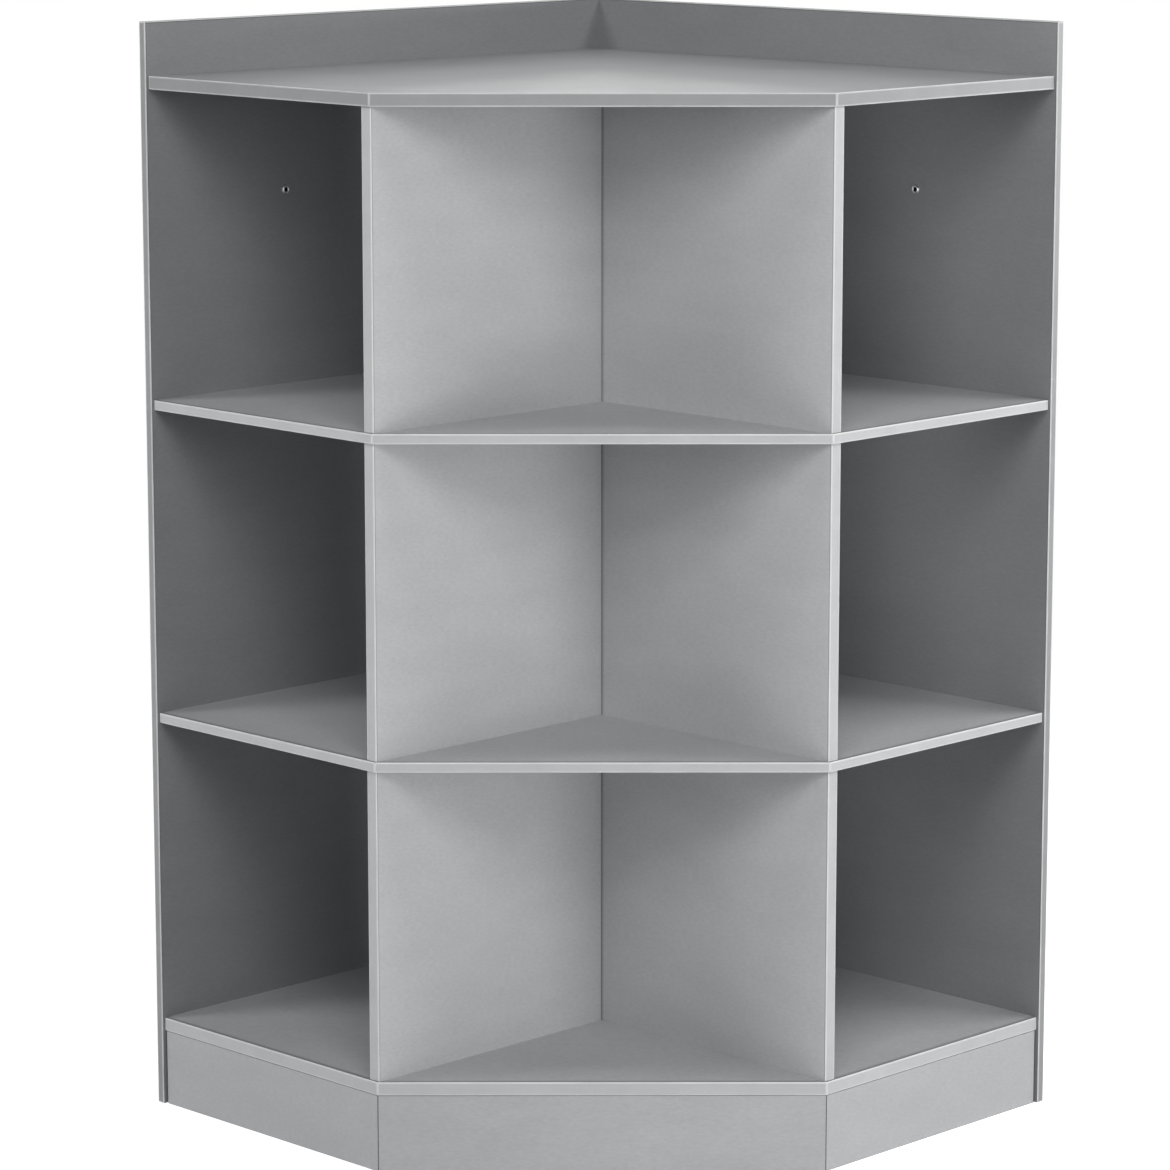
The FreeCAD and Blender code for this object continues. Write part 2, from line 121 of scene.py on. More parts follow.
class ShelfFinishSettings(bpy.types.PropertyGroup):
    """Colours and surface detail of boards and edging."""
    divider_colour: colour_setting("Divider", "Laminate on the dividers", slot_colour("board"))
    # Painted shade: the shelves and the bottom take a darker copy of the dividers' laminate
    shaded_shelf_colour: colour_setting("Shelf", "Laminate on the shelves and the bottom", slot_colour("shelf"))
    panel_colour: colour_setting("Panel", "Laminate on the walls and the top", slot_colour("panel"))
    plinth_colour: colour_setting("Plinth", "Laminate on the plinth", slot_colour("plinth"))
    shelf_edge_colour: colour_setting("Shelf edge", "Edging of light boards", slot_colour("shelf_edge"))
    panel_edge_colour: colour_setting("Panel edge", "Edging of the top and walls", slot_colour("panel_edge"))
    core_colour: colour_setting("Core", "Fibreboard at cut edges and in holes", (0.40, 0.27, 0.16))
    sealed_colour: colour_setting("Sealed edge", "Painted cut edges of the plinth", (0.13, 0.13, 0.135))
    board_roughness: share_setting("Board roughness", "Roughness of shelves and dividers", 0.55)
    board_gloss: share_setting("Board gloss", "Strength of reflections in shelves and dividers", 0.20)
    panel_roughness: share_setting("Panel roughness", "Roughness of the walls and the top", 0.34)
    panel_gloss: share_setting("Panel gloss", "Strength of reflections in the walls and the top", 0.50)
    edge_roughness: share_setting("Edge roughness", "Roughness of the edging", 0.48)
    edge_gloss: share_setting("Edge gloss", "Strength of reflections in the edging", 0.25)
    grain_size: length_setting("Grain size", "Width of the fine grain in the laminate", 0.0018)
    grain_stretch: share_setting("Grain stretch", "Height of a level streak as a share of its length", 0.35)
    cloud_size: length_setting("Cloud size", "Width of the soft clouds in the laminate", 0.030)
    grain_tone: share_setting("Grain tone", "How far the grain lightens and darkens the laminate", 0.070)
    cloud_tone: share_setting("Cloud tone", "How far the clouds lighten and darken the laminate", 0.042)
    # Dark lines beside strips and joints: dark joints, partly painted shade
    joint_shade_width: length_setting("Joint width", "Width of the dark line beside an edge strip", 0.0009)
    level_joint_shade_width: length_setting("Level joint", "Width of that line on a level board", 0.0060)
    # The line where the dividers meet at the V is painted shade in that corner
    corner_joint_shade_width: length_setting("Corner joint", "Width of the line where dividers meet", 0.0040)
    joint_shade_tone: share_setting("Joint tone", "How far such a line is darkened", 0.60)
    # Painted highlight, partly worn plastic: how far the edging's arrises are paled
    wear: share_setting("Wear", "How far the edging is rubbed pale at its arrises", 0.80)


class ShelfEdgingSettings(bpy.types.PropertyGroup):
    """Section of the edge strips."""
    arris_round: length_setting("Arris round", "Radius of an edge strip's outer arrises", 0.0008)
    arris_steps: IntProperty(name="Arris steps", description="Faces round each arris", default=5, min=2)
    # The painted highlight and rubbing on an arris fade out over this band
    worn_highlight_width: length_setting("Worn width", "Width of the rubbed band beside an arris", 0.0009)
    wall_gap: length_setting("Wall gap", "Gap between a board's edge strip and the wall panel", 0.0008)


class ShelfFittingSettings(bpy.types.PropertyGroup):
    """Detail of screws, cams and eyelets."""
    recess_share: share_setting("Recess reach", "Reach of a screw's cross recess in its head", 0.62)
    recess_width_share: share_setting("Recess width", "Width of a cross recess's wings in the head", 0.17)
    recess_depth_share: share_setting("Recess depth", "Depth of a cross recess in the head's cone", 0.80)
    cam_chamfer: length_setting("Cam chamfer", "Chamfer round a cam's face", 0.0005)
    cam_slot_length: length_setting("Cam slot length", "Length of the cross slots in a cam", 0.0072)
    cam_slot_width: length_setting("Cam slot width", "Width of the cross slots in a cam", 0.0015)
    cam_slot_depth: length_setting("Cam slot depth", "Depth of the cross slots in a cam", 0.0022)
    cam_mouth: length_setting("Cam mouth", "Diameter of the bore that takes the bolt's head", 0.0052)
    turn_steps: IntProperty(name="Turn steps", description="Faces round a turned piece", default=48, min=12)


class ShelfStageSettings(bpy.types.PropertyGroup):
    """Camera, floor and lamps."""
    camera_place: place_setting("Camera", "Where the camera stands", (-0.0236, -4.0819, 1.2267))
    camera_aim: place_setting("Aim", "The point that the camera looks at", (-0.0145, 0, 0.4706))
    lens_length: FloatProperty(name="Lens", description="Focal length", default=136.6, min=1, unit="CAMERA")
    floor_radius: length_setting("Floor", "Radius of the floor", 9.0)
    ambient: share_setting("Ambient", "Level of the light from all round", 0.01)
    front_high_power: power_setting("Front high", "Power of the high soft box in front", 22.5)
    front_mid_power: power_setting("Front middle", "Power of the middle soft box in front", 7.5)
    left_high_power: power_setting("Left high", "Power of the high soft box on the left", 11.0)
    right_high_power: power_setting("Right high", "Power of the high soft box on the right", 13.0)
    left_low_power: power_setting("Left low", "Power of the low soft box on the left", 5.2)
    right_low_power: power_setting("Right low", "Power of the low soft box on the right", 6.8)
    right_side_power: power_setting("Right side", "Power of the small soft box beside the right bays", 4.5)
    rear_high_power: power_setting("Rear high", "Power of the strip box behind that skims the top", 2.4)
    rear_low_power: power_setting("Rear low", "Power of the low soft box behind", 30.0)


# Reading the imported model

def plan_point(left, right, height):
    """A point given along the left wall, along the right wall and up."""
    return plan_axes[LEFT] * left + plan_axes[RIGHT] * right + plan_axes[UP] * height


def plan_box(points):
    """Lowest and highest reach of points along the plan's axes."""
    reaches = [[point.dot(axis) for point in points] for axis in plan_axes]
    return [min(reach) for reach in reaches], [max(reach) for reach in reaches]


def plan_middle(low, high):
    """Middle of a box along the plan's axes."""
    return [(first + last) / 2 for first, last in zip(low, high)]


def node_box(node):
    """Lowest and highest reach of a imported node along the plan's axes."""
    return plan_box([vertex.co for vertex in frame["nodes"][node].data.vertices])


def solids_in(node):
    """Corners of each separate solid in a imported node."""
    mesh = bmesh.new()
    mesh.from_mesh(frame["nodes"][node].data)
    bmesh.ops.remove_doubles(mesh, verts=mesh.verts, dist=merge_distance)
    left_over = set(mesh.verts)
    solids = []
    for seed in mesh.verts:
        if seed not in left_over:
            continue
        left_over.remove(seed)
        waiting = [seed]
        corners = []
        while waiting:
            vertex = waiting.pop()
            corners.append(vertex.co.copy())
            for edge in vertex.link_edges:
                other = edge.other_vert(vertex)
                if other in left_over:
                    left_over.remove(other)
                    waiting.append(other)
        solids.append(corners)
    mesh.free()
    return solids


# Meshes

def layer_named(layers, name):
    """A layer of an edit mesh, made the first time that it is asked for."""
    return layers.get(name) or layers.new(name)


def mesh_from(build, name):
    """A plain mesh from an edit mesh, faces turned outwards, sharp where faces meet at a real arris."""
    bmesh.ops.recalc_face_normals(build, faces=build.faces)
    mesh = bpy.data.meshes.new(name)
    build.to_mesh(mesh)
    build.free()
    mesh.set_sharp_from_angle(angle=built_crease)
    return mesh


def finished_piece(name, mesh, material, nodes):
    """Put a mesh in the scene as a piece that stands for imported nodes."""
    piece = bpy.data.objects.new(name, mesh)
    bpy.context.scene.collection.objects.link(piece)
    if material.name not in [used.name for used in mesh.materials if used]:
        mesh.materials.append(material)
    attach(piece, "root")
    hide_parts(*nodes)


# Nodes

VALUE, VECTOR, COUNT = "NodeSocketFloat", "NodeSocketVector", "NodeSocketInt"
GEOMETRY, MATERIAL = "NodeSocketGeometry", "NodeSocketMaterial"


def add_node(tree, kind, feeds=None, **settings):
    """Add a node, set its options, and feed its sockets from values or from other sockets."""
    node = tree.nodes.new(kind)
    for name, value in settings.items():
        setattr(node, name, value)
    for socket, value in (feeds or {}).items():
        if isinstance(value, bpy.types.NodeSocket):
            tree.links.new(value, node.inputs[socket])
        else:
            node.inputs[socket].default_value = value
    return node


def maths(tree, operation, first, second=0.0):
    """Result of one sum on values or sockets."""
    return add_node(tree, "ShaderNodeMath", {0: first, 1: second}, operation=operation).outputs[0]


def product(tree, first, second):
    """Two values or sockets multiplied."""
    return maths(tree, "MULTIPLY", first, second)


def mixed_colour(tree, share, first, second, blend="MIX"):
    """Two colours mixed by a share. A Mix node's colour sockets come after those for values and vectors."""
    feeds = {0: share, 6: first, 7: second}
    return add_node(tree, "ShaderNodeMix", feeds, data_type="RGBA", blend_type=blend).outputs[2]


def toned(tree, colour, tone):
    """A colour made lighter or darker by a tone about one."""
    return mixed_colour(tree, 1.0, (*colour, 1), tone, "MULTIPLY")


def spread_over(tree, value, spread):
    """A value carried from one range to another, held at the ends."""
    feeds = {"Value": value, **dict(zip(("From Min", "From Max", "To Min", "To Max"), spread))}
    return add_node(tree, "ShaderNodeMapRange", feeds, clamp=True).outputs["Result"]


def spread_polish(tree, mask, roughness, polish, ends=(0.0, 1.0)):
    """Roughness that falls and rises about its middle with a mask."""
    return spread_over(tree, mask, (*ends, roughness - polish[0], roughness + polish[1]))


def noise(tree, position, scale, octaves):
    """Cloud noise from none to one."""
    feeds = {"Vector": position, "Scale": scale, "Detail": octaves[0], "Roughness": octaves[1]}
    return add_node(tree, "ShaderNodeTexNoise", feeds, noise_dimensions="3D").outputs[0]


def scaled(tree, position, scales):
    """A position stretched along its axes."""
    return add_node(tree, "ShaderNodeMapping", {"Vector": position, "Scale": scales}).outputs["Vector"]


def reach_along(tree, vector, direction):
    """How far a position or a normal reaches along a direction."""
    return add_node(
        tree, "ShaderNodeVectorMath", {0: vector, 1: direction}, operation="DOT_PRODUCT").outputs["Value"]


def new_group(name, kind, inputs, outputs):
    """A node group with named sockets of given kinds: its tree, its inputs and its outputs."""
    group = bpy.data.node_groups.new(name, kind)
    for way, sockets in (("INPUT", inputs), ("OUTPUT", outputs)):
        for label, socket_kind in sockets.items():
            group.interface.new_socket(label, in_out=way, socket_type=socket_kind)
    return group, group.nodes.new("NodeGroupInput").outputs, group.nodes.new("NodeGroupOutput").inputs


# Values of the finishes

# Plated metals by slot: name, roughness and grain size
metals = {
    "bolt": ("zinc_bolt", 0.34, 0.0006),
    "plate": ("zinc_plate", 0.38, 0.0009),
    "screw": ("zinc_screw", 0.32, 0.0005),
    "cam": ("cast_cam", 0.42, 0.0008),
    "eyelet": ("nickel_eyelet", 0.30, 0.0005),
}

# Noise: detail and roughness, and spots to the metre
fine_octaves = (3.0, 0.6)
cloud_octaves = (4.0, 0.55)
fibre_octaves = (4.0, 0.7)
ring_octaves = (4.0, 0.6)
dust_octaves = (5.0, 0.65)
chip_octaves = (2.0, 0.5)
fibre_scale = 900.0
rub_scale = 28.0
dust_scale = 14.0
line_scales = (9.0, 1600.0, 1.0)
ring_scales = (900.0, 900.0, 60.0)
noise_middle = 0.5
noise_gain = 4.0

# Spreads: the low and high end of a mask, and the values that they become
gloss_spread = (0.3, 0.7, 0.0, 1.0)
cut_spread = (0.80, 0.95, 1.0, 0.0)
rub_spread = (0.25, 0.75, 0.55, 1.0)
chip_spread = (0.74, 0.78, 0.0, 1.0)
level_spread = (0.7, 0.95, 0.0, 1.0)
dust_spread = (0.35, 0.75, 0.2, 1.0)
fibre_tones = (0.3, 0.7, 0.75, 1.2)
line_tones = (0.25, 0.75, 0.97, 1.03)
line_ends = (0.2, 0.8)
ring_tones = (0.3, 0.7, 0.78, 1.12)
ring_roughness = (0.2, 0.8, 0.55, 0.7)
plastic_roughness = (0.0, 1.0, 0.42, 0.55)

# Polish: how far roughness falls and rises about its middle
board_polish = (0.03, 0.03)
edge_polish = (0.04, 0.05)
metal_polish = (0.07, 0.09)

# Bumps: distance and strength
laminate_bump = (0.00003, 0.35)
edging_bump = (0.00002, 0.25)
metal_bump = (0.00002, 0.3)
beech_bump = (0.00008, 0.4)
plastic_bump = (0.00006, 0.5)

# Grain of plated metal, after the grain's own size, and of moulded plastic: sizes and tones
metal_clouds = (0.004, 0.05, 0.06)
plastic_grain = (0.0006, 0.012, 0.03, 0.03)

# Marks on the surfaces, some of them painted highlight and painted shade: sizes, shares, changes of roughness
# and colours
chip_size = 0.004
dust_share = 0.04
glue_shade_share = 0.75
edge_grain_share = 0.5
dust_roughness = 1.2
core_roughness = 0.45
arris_polish = 0.06
dust_colour = (0.62, 0.61, 0.59, 1)
# Pale arris colour: a painted highlight, partly rubbed plastic
rubbed_highlight_colour = (0.86, 0.87, 0.87, 1)
chip_colour = (0.90, 0.89, 0.87, 1)
# Near-black line where an edge strip meets its board: a glued joint, partly painted shade
glue_shade_colour = (0.05, 0.05, 0.05, 1)
# Near-black inside an eyelet's bore: painted shade, partly unplated metal
bore_shade_colour = (0.010, 0.010, 0.011, 1)
# Darkening beside joints: partly painted shade
joint_shade_colour = (0, 0, 0, 1)


# Shared effects

grain_inputs = ("Grain Size", "Cloud Size", "Grain Tone", "Cloud Tone")


def effect_group(name, vectors, values, results):
    """A shader group that takes vectors and values and puts out values."""
    inputs = {**dict.fromkeys(vectors, VECTOR), **dict.fromkeys(values, VALUE)}
    return new_group(name, "ShaderNodeTree", inputs, dict.fromkeys(results, VALUE))


def surface_grain(name):
    """Fine grain and soft clouds: a tone about one, a bump height and a gloss mask."""
    group, source, result = effect_group(name, ("Position",), grain_inputs, ("Tone", "Height", "Gloss"))
    masks, shifts = [], []
    for kind, octaves in (("Grain", fine_octaves), ("Cloud", cloud_octaves)):
        mask = noise(group, source["Position"], maths(group, "DIVIDE", 1.0, source[kind + " Size"]), octaves)
        masks.append(mask)
        shifts.append(product(group, maths(group, "SUBTRACT", mask, noise_middle), source[kind + " Tone"]))
    shift = product(group, maths(group, "ADD", *shifts), noise_gain)
    group.links.new(maths(group, "ADD", shift, 1.0), result["Tone"])
    group.links.new(masks[0], result["Height"])
    group.links.new(spread_over(group, masks[1], gloss_spread), result["Gloss"])


def cut_edge(name):
    """Where a board's core shows: everywhere but on its two faces, which look along one direction."""
    group, source, result = effect_group(name, ("Normal", "Facing"), (), ("Core",))
    faced = maths(group, "ABSOLUTE", reach_along(group, source["Normal"], source["Facing"]))
    group.links.new(spread_over(group, faced, cut_spread), result["Core"])


def arris_rub_and_highlight(name):
    """Arrises paled by a painted highlight that is partly rubbed plastic, and a few small chips, from the
    strip's own arris attribute.
    """
    values = ("Arris", "Wear", "Chip Size")
    group, source, result = effect_group(name, ("Position",), values, ("Rubbed", "Chip"))
    drift = noise(group, source["Position"], rub_scale, fine_octaves)
    rubbed = product(group, source["Arris"], spread_over(group, drift, rub_spread))
    group.links.new(product(group, rubbed, source["Wear"]), result["Rubbed"])
    speck = noise(group, source["Position"], maths(group, "DIVIDE", 1.0, source["Chip Size"]), chip_octaves)
    group.links.new(product(group, source["Arris"], spread_over(group, speck, chip_spread)), result["Chip"])


def settled_dust(name):
    """A trace of dust on faces that look up."""
    group, source, result = effect_group(name, ("Position", "Normal"), ("Amount",), ("Dust",))
    upward = add_node(group, "ShaderNodeSeparateXYZ", {0: source["Normal"]}).outputs["Z"]
    drift = spread_over(group, noise(group, source["Position"], dust_scale, dust_octaves), dust_spread)
    dust = product(group, spread_over(group, upward, level_spread), drift)
    group.links.new(product(group, dust, source["Amount"]), result["Dust"])


def joint_shade_line(name):
    """The dark line on a board beside a joint, partly painted shade, at a reach along one direction."""
    group, source, result = effect_group(name, ("Position", "Along"), ("Reach", "Width"), ("Line",))
    reached = reach_along(group, source["Position"], source["Along"])
    short_of = maths(group, "SUBTRACT", source["Reach"], reached)
    group.links.new(spread_over(group, short_of, (0.0, source["Width"], 1.0, 0.0)), result["Line"])


effect_makers = {
    "Surface grain": surface_grain,
    "Cut edge": cut_edge,
    "Arris wear": arris_rub_and_highlight,
    "Settled dust": settled_dust,
    "Joint line": joint_shade_line,
}


def place_effect(tree, name, feeds):
    """Place a shared effect in a material, building it the first time, and give its outputs."""
    if name not in bpy.data.node_groups:
        effect_makers[name](name)
    return add_node(tree, "ShaderNodeGroup", feeds, node_tree=bpy.data.node_groups[name]).outputs


def place_grain(tree, position, grain):
    """Place the surface grain with its two sizes and two tones."""
    return place_effect(tree, "Surface grain", {"Position": position, **dict(zip(grain_inputs, grain))})


# Finishes

BoardFinish = namedtuple("BoardFinish", "colour core roughness gloss")


def new_material(name):
    """An empty material: its tree, its shader's inputs and the surface's own coordinates."""
    material = bpy.data.materials.new(name)
    material.use_nodes = True
    tree = material.node_tree
    position = add_node(tree, "ShaderNodeTexCoord").outputs["Object"]
    return material, tree, tree.nodes["Principled BSDF"].inputs, position


def mesh_mark(tree, name):
    """A mark that a piece's mesh carries."""
    return add_node(tree, "ShaderNodeAttribute", attribute_name=name).outputs["Fac"]


def link_surface(tree, shader, colour, roughness, height, bump):
    """Link a surface's colour, roughness and bump to its shader."""
    feeds = {"Height": height, "Distance": bump[0], "Strength": bump[1]}
    normal = add_node(tree, "ShaderNodeBump", feeds).outputs["Normal"]
    for socket, source in (("Base Color", colour), ("Roughness", roughness), ("Normal", normal)):
        tree.links.new(source, shader[socket])


def laminate(name, facing, board, finish, joints):
    """Satin laminate on fibreboard: core at cut edges and in holes, dark lines beside joints that are partly
    painted shade.
    """
    material, tree, shader, position = new_material(name)
    normal = add_node(tree, "ShaderNodeNewGeometry").outputs["Normal"]
    streaked = scaled(tree, position, (finish.grain_stretch, finish.grain_stretch, 1.0))
    sizes = (finish.grain_size, finish.cloud_size, finish.grain_tone, finish.cloud_tone)
    grain = place_grain(tree, streaked, sizes)
    core = place_effect(tree, "Cut edge", {"Normal": normal, "Facing": facing})["Core"]
    feeds = {"Position": position, "Normal": normal, "Amount": dust_share}
    dust = place_effect(tree, "Settled dust", feeds)["Dust"]
    surface = toned(tree, board.colour, grain["Tone"])
    for along, reach, width in joints:
        feeds = {"Position": position, "Along": along, "Reach": reach, "Width": width}
        # Each line darkens the board beside a joint: partly painted shade
        line = place_effect(tree, "Joint line", feeds)["Line"]
        surface = mixed_colour(tree, product(tree, line, finish.joint_shade_tone), surface, joint_shade_colour)
    fibre = noise(tree, position, fibre_scale, fibre_octaves)
    fibres = toned(tree, board.core, spread_over(tree, fibre, fibre_tones))
    bare = mixed_colour(tree, core, surface, fibres)
    dusty = mixed_colour(tree, dust, bare, dust_colour)
    satin = spread_polish(tree, grain["Gloss"], board.roughness, board_polish)
    dulled = maths(tree, "ADD", satin, product(tree, dust, dust_roughness))
    roughness = maths(tree, "ADD", dulled, product(tree, core, core_roughness))
    link_surface(tree, shader, dusty, roughness, grain["Height"], laminate_bump)
    shader["Specular IOR Level"].default_value = board.gloss
    return material


def edging(name, colour, finish):
    """Satin plastic edging with faint lines along its run, arrises paled by painted highlight and rubbing, and
    a dark glued joint line that is partly painted shade.
    """
    material, tree, shader, position = new_material(name)
    strip = add_node(tree, "ShaderNodeUVMap", uv_map="strip").outputs["UV"]
    arris = mesh_mark(tree, "arris")
    lines = noise(tree, scaled(tree, strip, line_scales), 1.0, fine_octaves)
    tone = finish.grain_tone * edge_grain_share
    grain = place_grain(tree, position, (finish.grain_size, finish.cloud_size, tone, finish.cloud_tone))
    feeds = {"Position": position, "Arris": arris, "Wear": finish.wear, "Chip Size": chip_size}
    wear = place_effect(tree, "Arris wear", feeds)
    plain = toned(tree, colour, product(tree, grain["Tone"], spread_over(tree, lines, line_tones)))
    rubbed = mixed_colour(tree, wear["Rubbed"], plain, rubbed_highlight_colour)
    chipped = mixed_colour(tree, wear["Chip"], rubbed, chip_colour)
    # Dark glued joint line beside the board, partly painted shade
    glue_shaded = mixed_colour(tree, product(tree, mesh_mark(tree, "glue"), glue_shade_share), chipped, glue_shade_colour)
    satin = spread_polish(tree, lines, finish.edge_roughness, edge_polish, line_ends)
    roughness = maths(tree, "SUBTRACT", satin, product(tree, arris, arris_polish))
    link_surface(tree, shader, glue_shaded, roughness, lines, edging_bump)
    shader["Specular IOR Level"].default_value = finish.edge_gloss
    return material


def plated_metal(slot, bore_shade_mark=None):
    """Plated metal with small changes of tone and polish, and near-black where the mesh marks a bore: an
    unplated bore, darkened further as painted shade.
    """
    name, roughness, grain_size = metals[slot]
    material, tree, shader, position = new_material(name)
    grain = place_grain(tree, position, (grain_size, *metal_clouds))
    colour = toned(tree, slot_colour(slot), grain["Tone"])
    if bore_shade_mark:
        colour = mixed_colour(tree, mesh_mark(tree, bore_shade_mark), colour, bore_shade_colour)
    polish = spread_polish(tree, grain["Gloss"], roughness, metal_polish)
    link_surface(tree, shader, colour, polish, grain["Height"], metal_bump)
    shader["Metallic"].default_value = 1.0
    return material


def bare_beech(name, colour):
    """Turned beech with its grain along the dowel and short dark flecks."""
    material, tree, shader, position = new_material(name)
    rings = noise(tree, scaled(tree, position, ring_scales), 1.0, ring_octaves)
    wood = toned(tree, colour, spread_over(tree, rings, ring_tones))
    link_surface(tree, shader, wood, spread_over(tree, rings, ring_roughness), rings, beech_bump)
    return material


def moulded_plastic(name, colour):
    """Moulded plastic with a fine spark-eroded texture."""
    material, tree, shader, position = new_material(name)
    grain = place_grain(tree, position, plastic_grain)
    roughness = spread_over(tree, grain["Gloss"], plastic_roughness)
    link_surface(tree, shader, toned(tree, colour, grain["Tone"]), roughness, grain["Height"], plastic_bump)
    return material


def finish_nodes(nodes, material):
    """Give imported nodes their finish."""
    for node in nodes:
        for slot in frame["nodes"][node].material_slots:
            slot.material = material


class SHELF_OT_finish_boards(bpy.types.Operator):
    """Give the boards and the plinth their finishes"""
    bl_idname = "shelf.finish_boards"
    bl_label = "Finish boards"

    def execute(self, context):
        finish = context.scene.shelf_finish
        self.finish_level_boards(finish)
        self.finish_standing_boards(finish)
        self.finish_plinth(finish)
        return {"FINISHED"}

    def mid_grey(self, finish):
        """Finish of the walls and the top."""
        colour, core = finish.panel_colour, finish.core_colour
        return BoardFinish(colour, core, finish.panel_roughness, finish.panel_gloss)

    def light_grey(self, colour, core, finish):
        """Finish of shelves, dividers, bottom and plinth."""
        return BoardFinish(colour, core, finish.board_roughness, finish.board_gloss)

    def finish_level_boards(self, finish):
        """Top, shelves and bottom, with dark lines, partly painted shade, along their three front edges."""
        reach = node_box("top_panel")[1][LEFT]
        edges = ((plan_axes[LEFT], reach), (plan_axes[RIGHT], reach), (front_way, -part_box("top_panel")[0].y))
        joints = [(along, edge, finish.level_joint_shade_width) for along, edge in edges]
        # Shelves and bottom: the darker, shaded copy of the divider laminate
        shelf = self.light_grey(finish.shaded_shelf_colour, finish.core_colour, finish)
        top = self.mid_grey(finish)
        for tone, board, nodes in (("mid", top, ("top_panel",)), ("light", shelf, shelf_boards)):
            finish_nodes(nodes, laminate("laminate_level_" + tone, plan_axes[UP], board, finish, joints))

    def finish_standing_boards(self, finish):
        """Wall panels and dividers, with dark lines, partly painted shade, along their banded edges, and
        painted shade where dividers meet.
        """
        panel = self.mid_grey(finish)
        divider = self.light_grey(finish.divider_colour, finish.core_colour, finish)
        for side, run, facing in (("left", LEFT, RIGHT), ("right", RIGHT, LEFT)):
            wall = "wall_panel_" + side
            wall_reach = node_box(wall)[1]
            joints = [(plan_axes[way], wall_reach[way], finish.joint_shade_width) for way in (run, UP)]
            grey = laminate("laminate_" + side + "_mid", plan_axes[facing], panel, finish, joints)
            finish_nodes((wall,), grey)
            nodes = [tier + "_divider_" + side for tier in tiers]
            low, high = node_box(nodes[0])
            joints = [(plan_axes[run], high[run], finish.joint_shade_width)]
            if side == "right":
                # Painted shade in the corner where the dividers meet
                joints.append((-plan_axes[run], -low[run], finish.corner_joint_shade_width))
            light = laminate("laminate_" + side + "_light", plan_axes[facing], divider, finish, joints)
            finish_nodes(nodes, light)

    def finish_plinth(self, finish):
        """Plinth boards, with painted cut edges and a dark line under the bottom board, partly painted shade.
        """
        board = self.light_grey(finish.plinth_colour, finish.sealed_colour, finish)
        joints = [(plan_axes[UP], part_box("plinth_front")[1].z, finish.joint_shade_width)]
        for side, facing in (("left", plan_axes[LEFT]), ("front", front_way), ("right", plan_axes[RIGHT])):
            paint = laminate("laminate_plinth_" + side, facing, board, finish, joints)
            finish_nodes(("plinth_" + side,), paint)


class SHELF_OT_finish_fittings(bpy.types.Operator):
    """Give bolts, dowels, plates and blocks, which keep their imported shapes, their finishes"""
    bl_idname = "shelf.finish_fittings"
    bl_label = "Finish hidden fittings"

    def execute(self, context):
        finish_nodes(("cam_bolts", "through_cam_bolts"), plated_metal("bolt"))
        finish_nodes(("plinth_corner_plates", "wall_angles"), plated_metal("plate"))
        beech = bare_beech("beech_dowel", slot_colour("dowel"))
        finish_nodes(("end_dowels", "through_dowels", "corner_dowels"), beech)
        finish_nodes(("plinth_blocks",), moulded_plastic("grey_block", slot_colour("block")))
        return {"FINISHED"}


# Edging

# Turn between two front edges of a board, and the least share of painted highlight and rubbing on an arris
board_corner = math.radians(45)
least_rub_highlight_share = 0.6


def arris_points(settings):
    """Points round a strip's arris: drop from one face, drop from the next, and its share of painted highlight
    and rubbing.
    """
    arris = settings.arris_round
    points = []
    for step in range(settings.arris_steps + 1):
        turn = quarter_turn * step / settings.arris_steps
        # Share of painted highlight and rubbing, highest mid-way round the arris
        rubbed = least_rub_highlight_share + (1 - least_rub_highlight_share) * math.sin(2 * turn)
        points.append((arris - arris * math.sin(turn), arris - arris * math.cos(turn), rubbed))
    return points


def strip_section(depth, width, settings):
    """Closed section of an edge strip as depth, height, arris share and share of the dark joint line, which is
    partly painted shade: two round arrises outside.
    """
    half = [(depth, 0, 0.0, 1.0)]
    half += [(deep, high, rubbed, 0.0) for deep, high, rubbed in arris_points(settings)]
    half.append((0, settings.arris_round + settings.worn_highlight_width, 0.0, 0.0))
    mirrored = [(deep, width - high, rubbed, glue) for deep, high, rubbed, glue in reversed(half)]
    return half + mirrored


def strip_rings(length, settings):
    """Where a strip's section is drawn: place along it, inset of its face and its share of painted highlight
    and rubbing, round at both ends.
    """
    near = [(along, inset, rubbed) for inset, along, rubbed in arris_points(settings)]
    near.append((settings.arris_round + settings.worn_highlight_width, 0.0, 0.0))
    far = [(length - along, inset, rubbed) for along, inset, rubbed in reversed(near)]
    return near + far


def add_strip(build, start, end, inward, across, section, settings, slopes=(0, 0)):
    """Loft an edge strip from start to end. Slopes draw its ends in, for a mitre, as it goes deeper."""
    run = (end - start).normalized()
    length = (end - start).length
    arris_layer = layer_named(build.verts.layers.float, "arris")
    glue_shade_layer = layer_named(build.verts.layers.float, "glue")
    strip_layer = layer_named(build.loops.layers.uv, "strip")
    places = strip_rings(length, settings)
    rings = []
    for along, inset, end_rubbed in places:
        slope = slopes[0] if along < length / 2 else -slopes[1]
        ring = []
        for deep, high, rubbed, glue in section:
            depth = max(deep, inset)
            vertex = build.verts.new(start + inward * depth + across * high + run * (along + slope * depth))
            # The rounded ends get the same painted highlight, which gives pale lines at the mitres
            vertex[arris_layer] = max(rubbed, end_rubbed * (1 - glue))
            vertex[glue_shade_layer] = glue
            ring.append(vertex)
        rings.append(ring)
    for lower in range(len(rings) - 1):
        ends = [place[0] for place in places[lower:lower + 2]]
        skin_strip(build, rings[lower:lower + 2], ends, section, strip_layer)
    build.faces.new(rings[0])
    build.faces.new(list(reversed(rings[-1])))


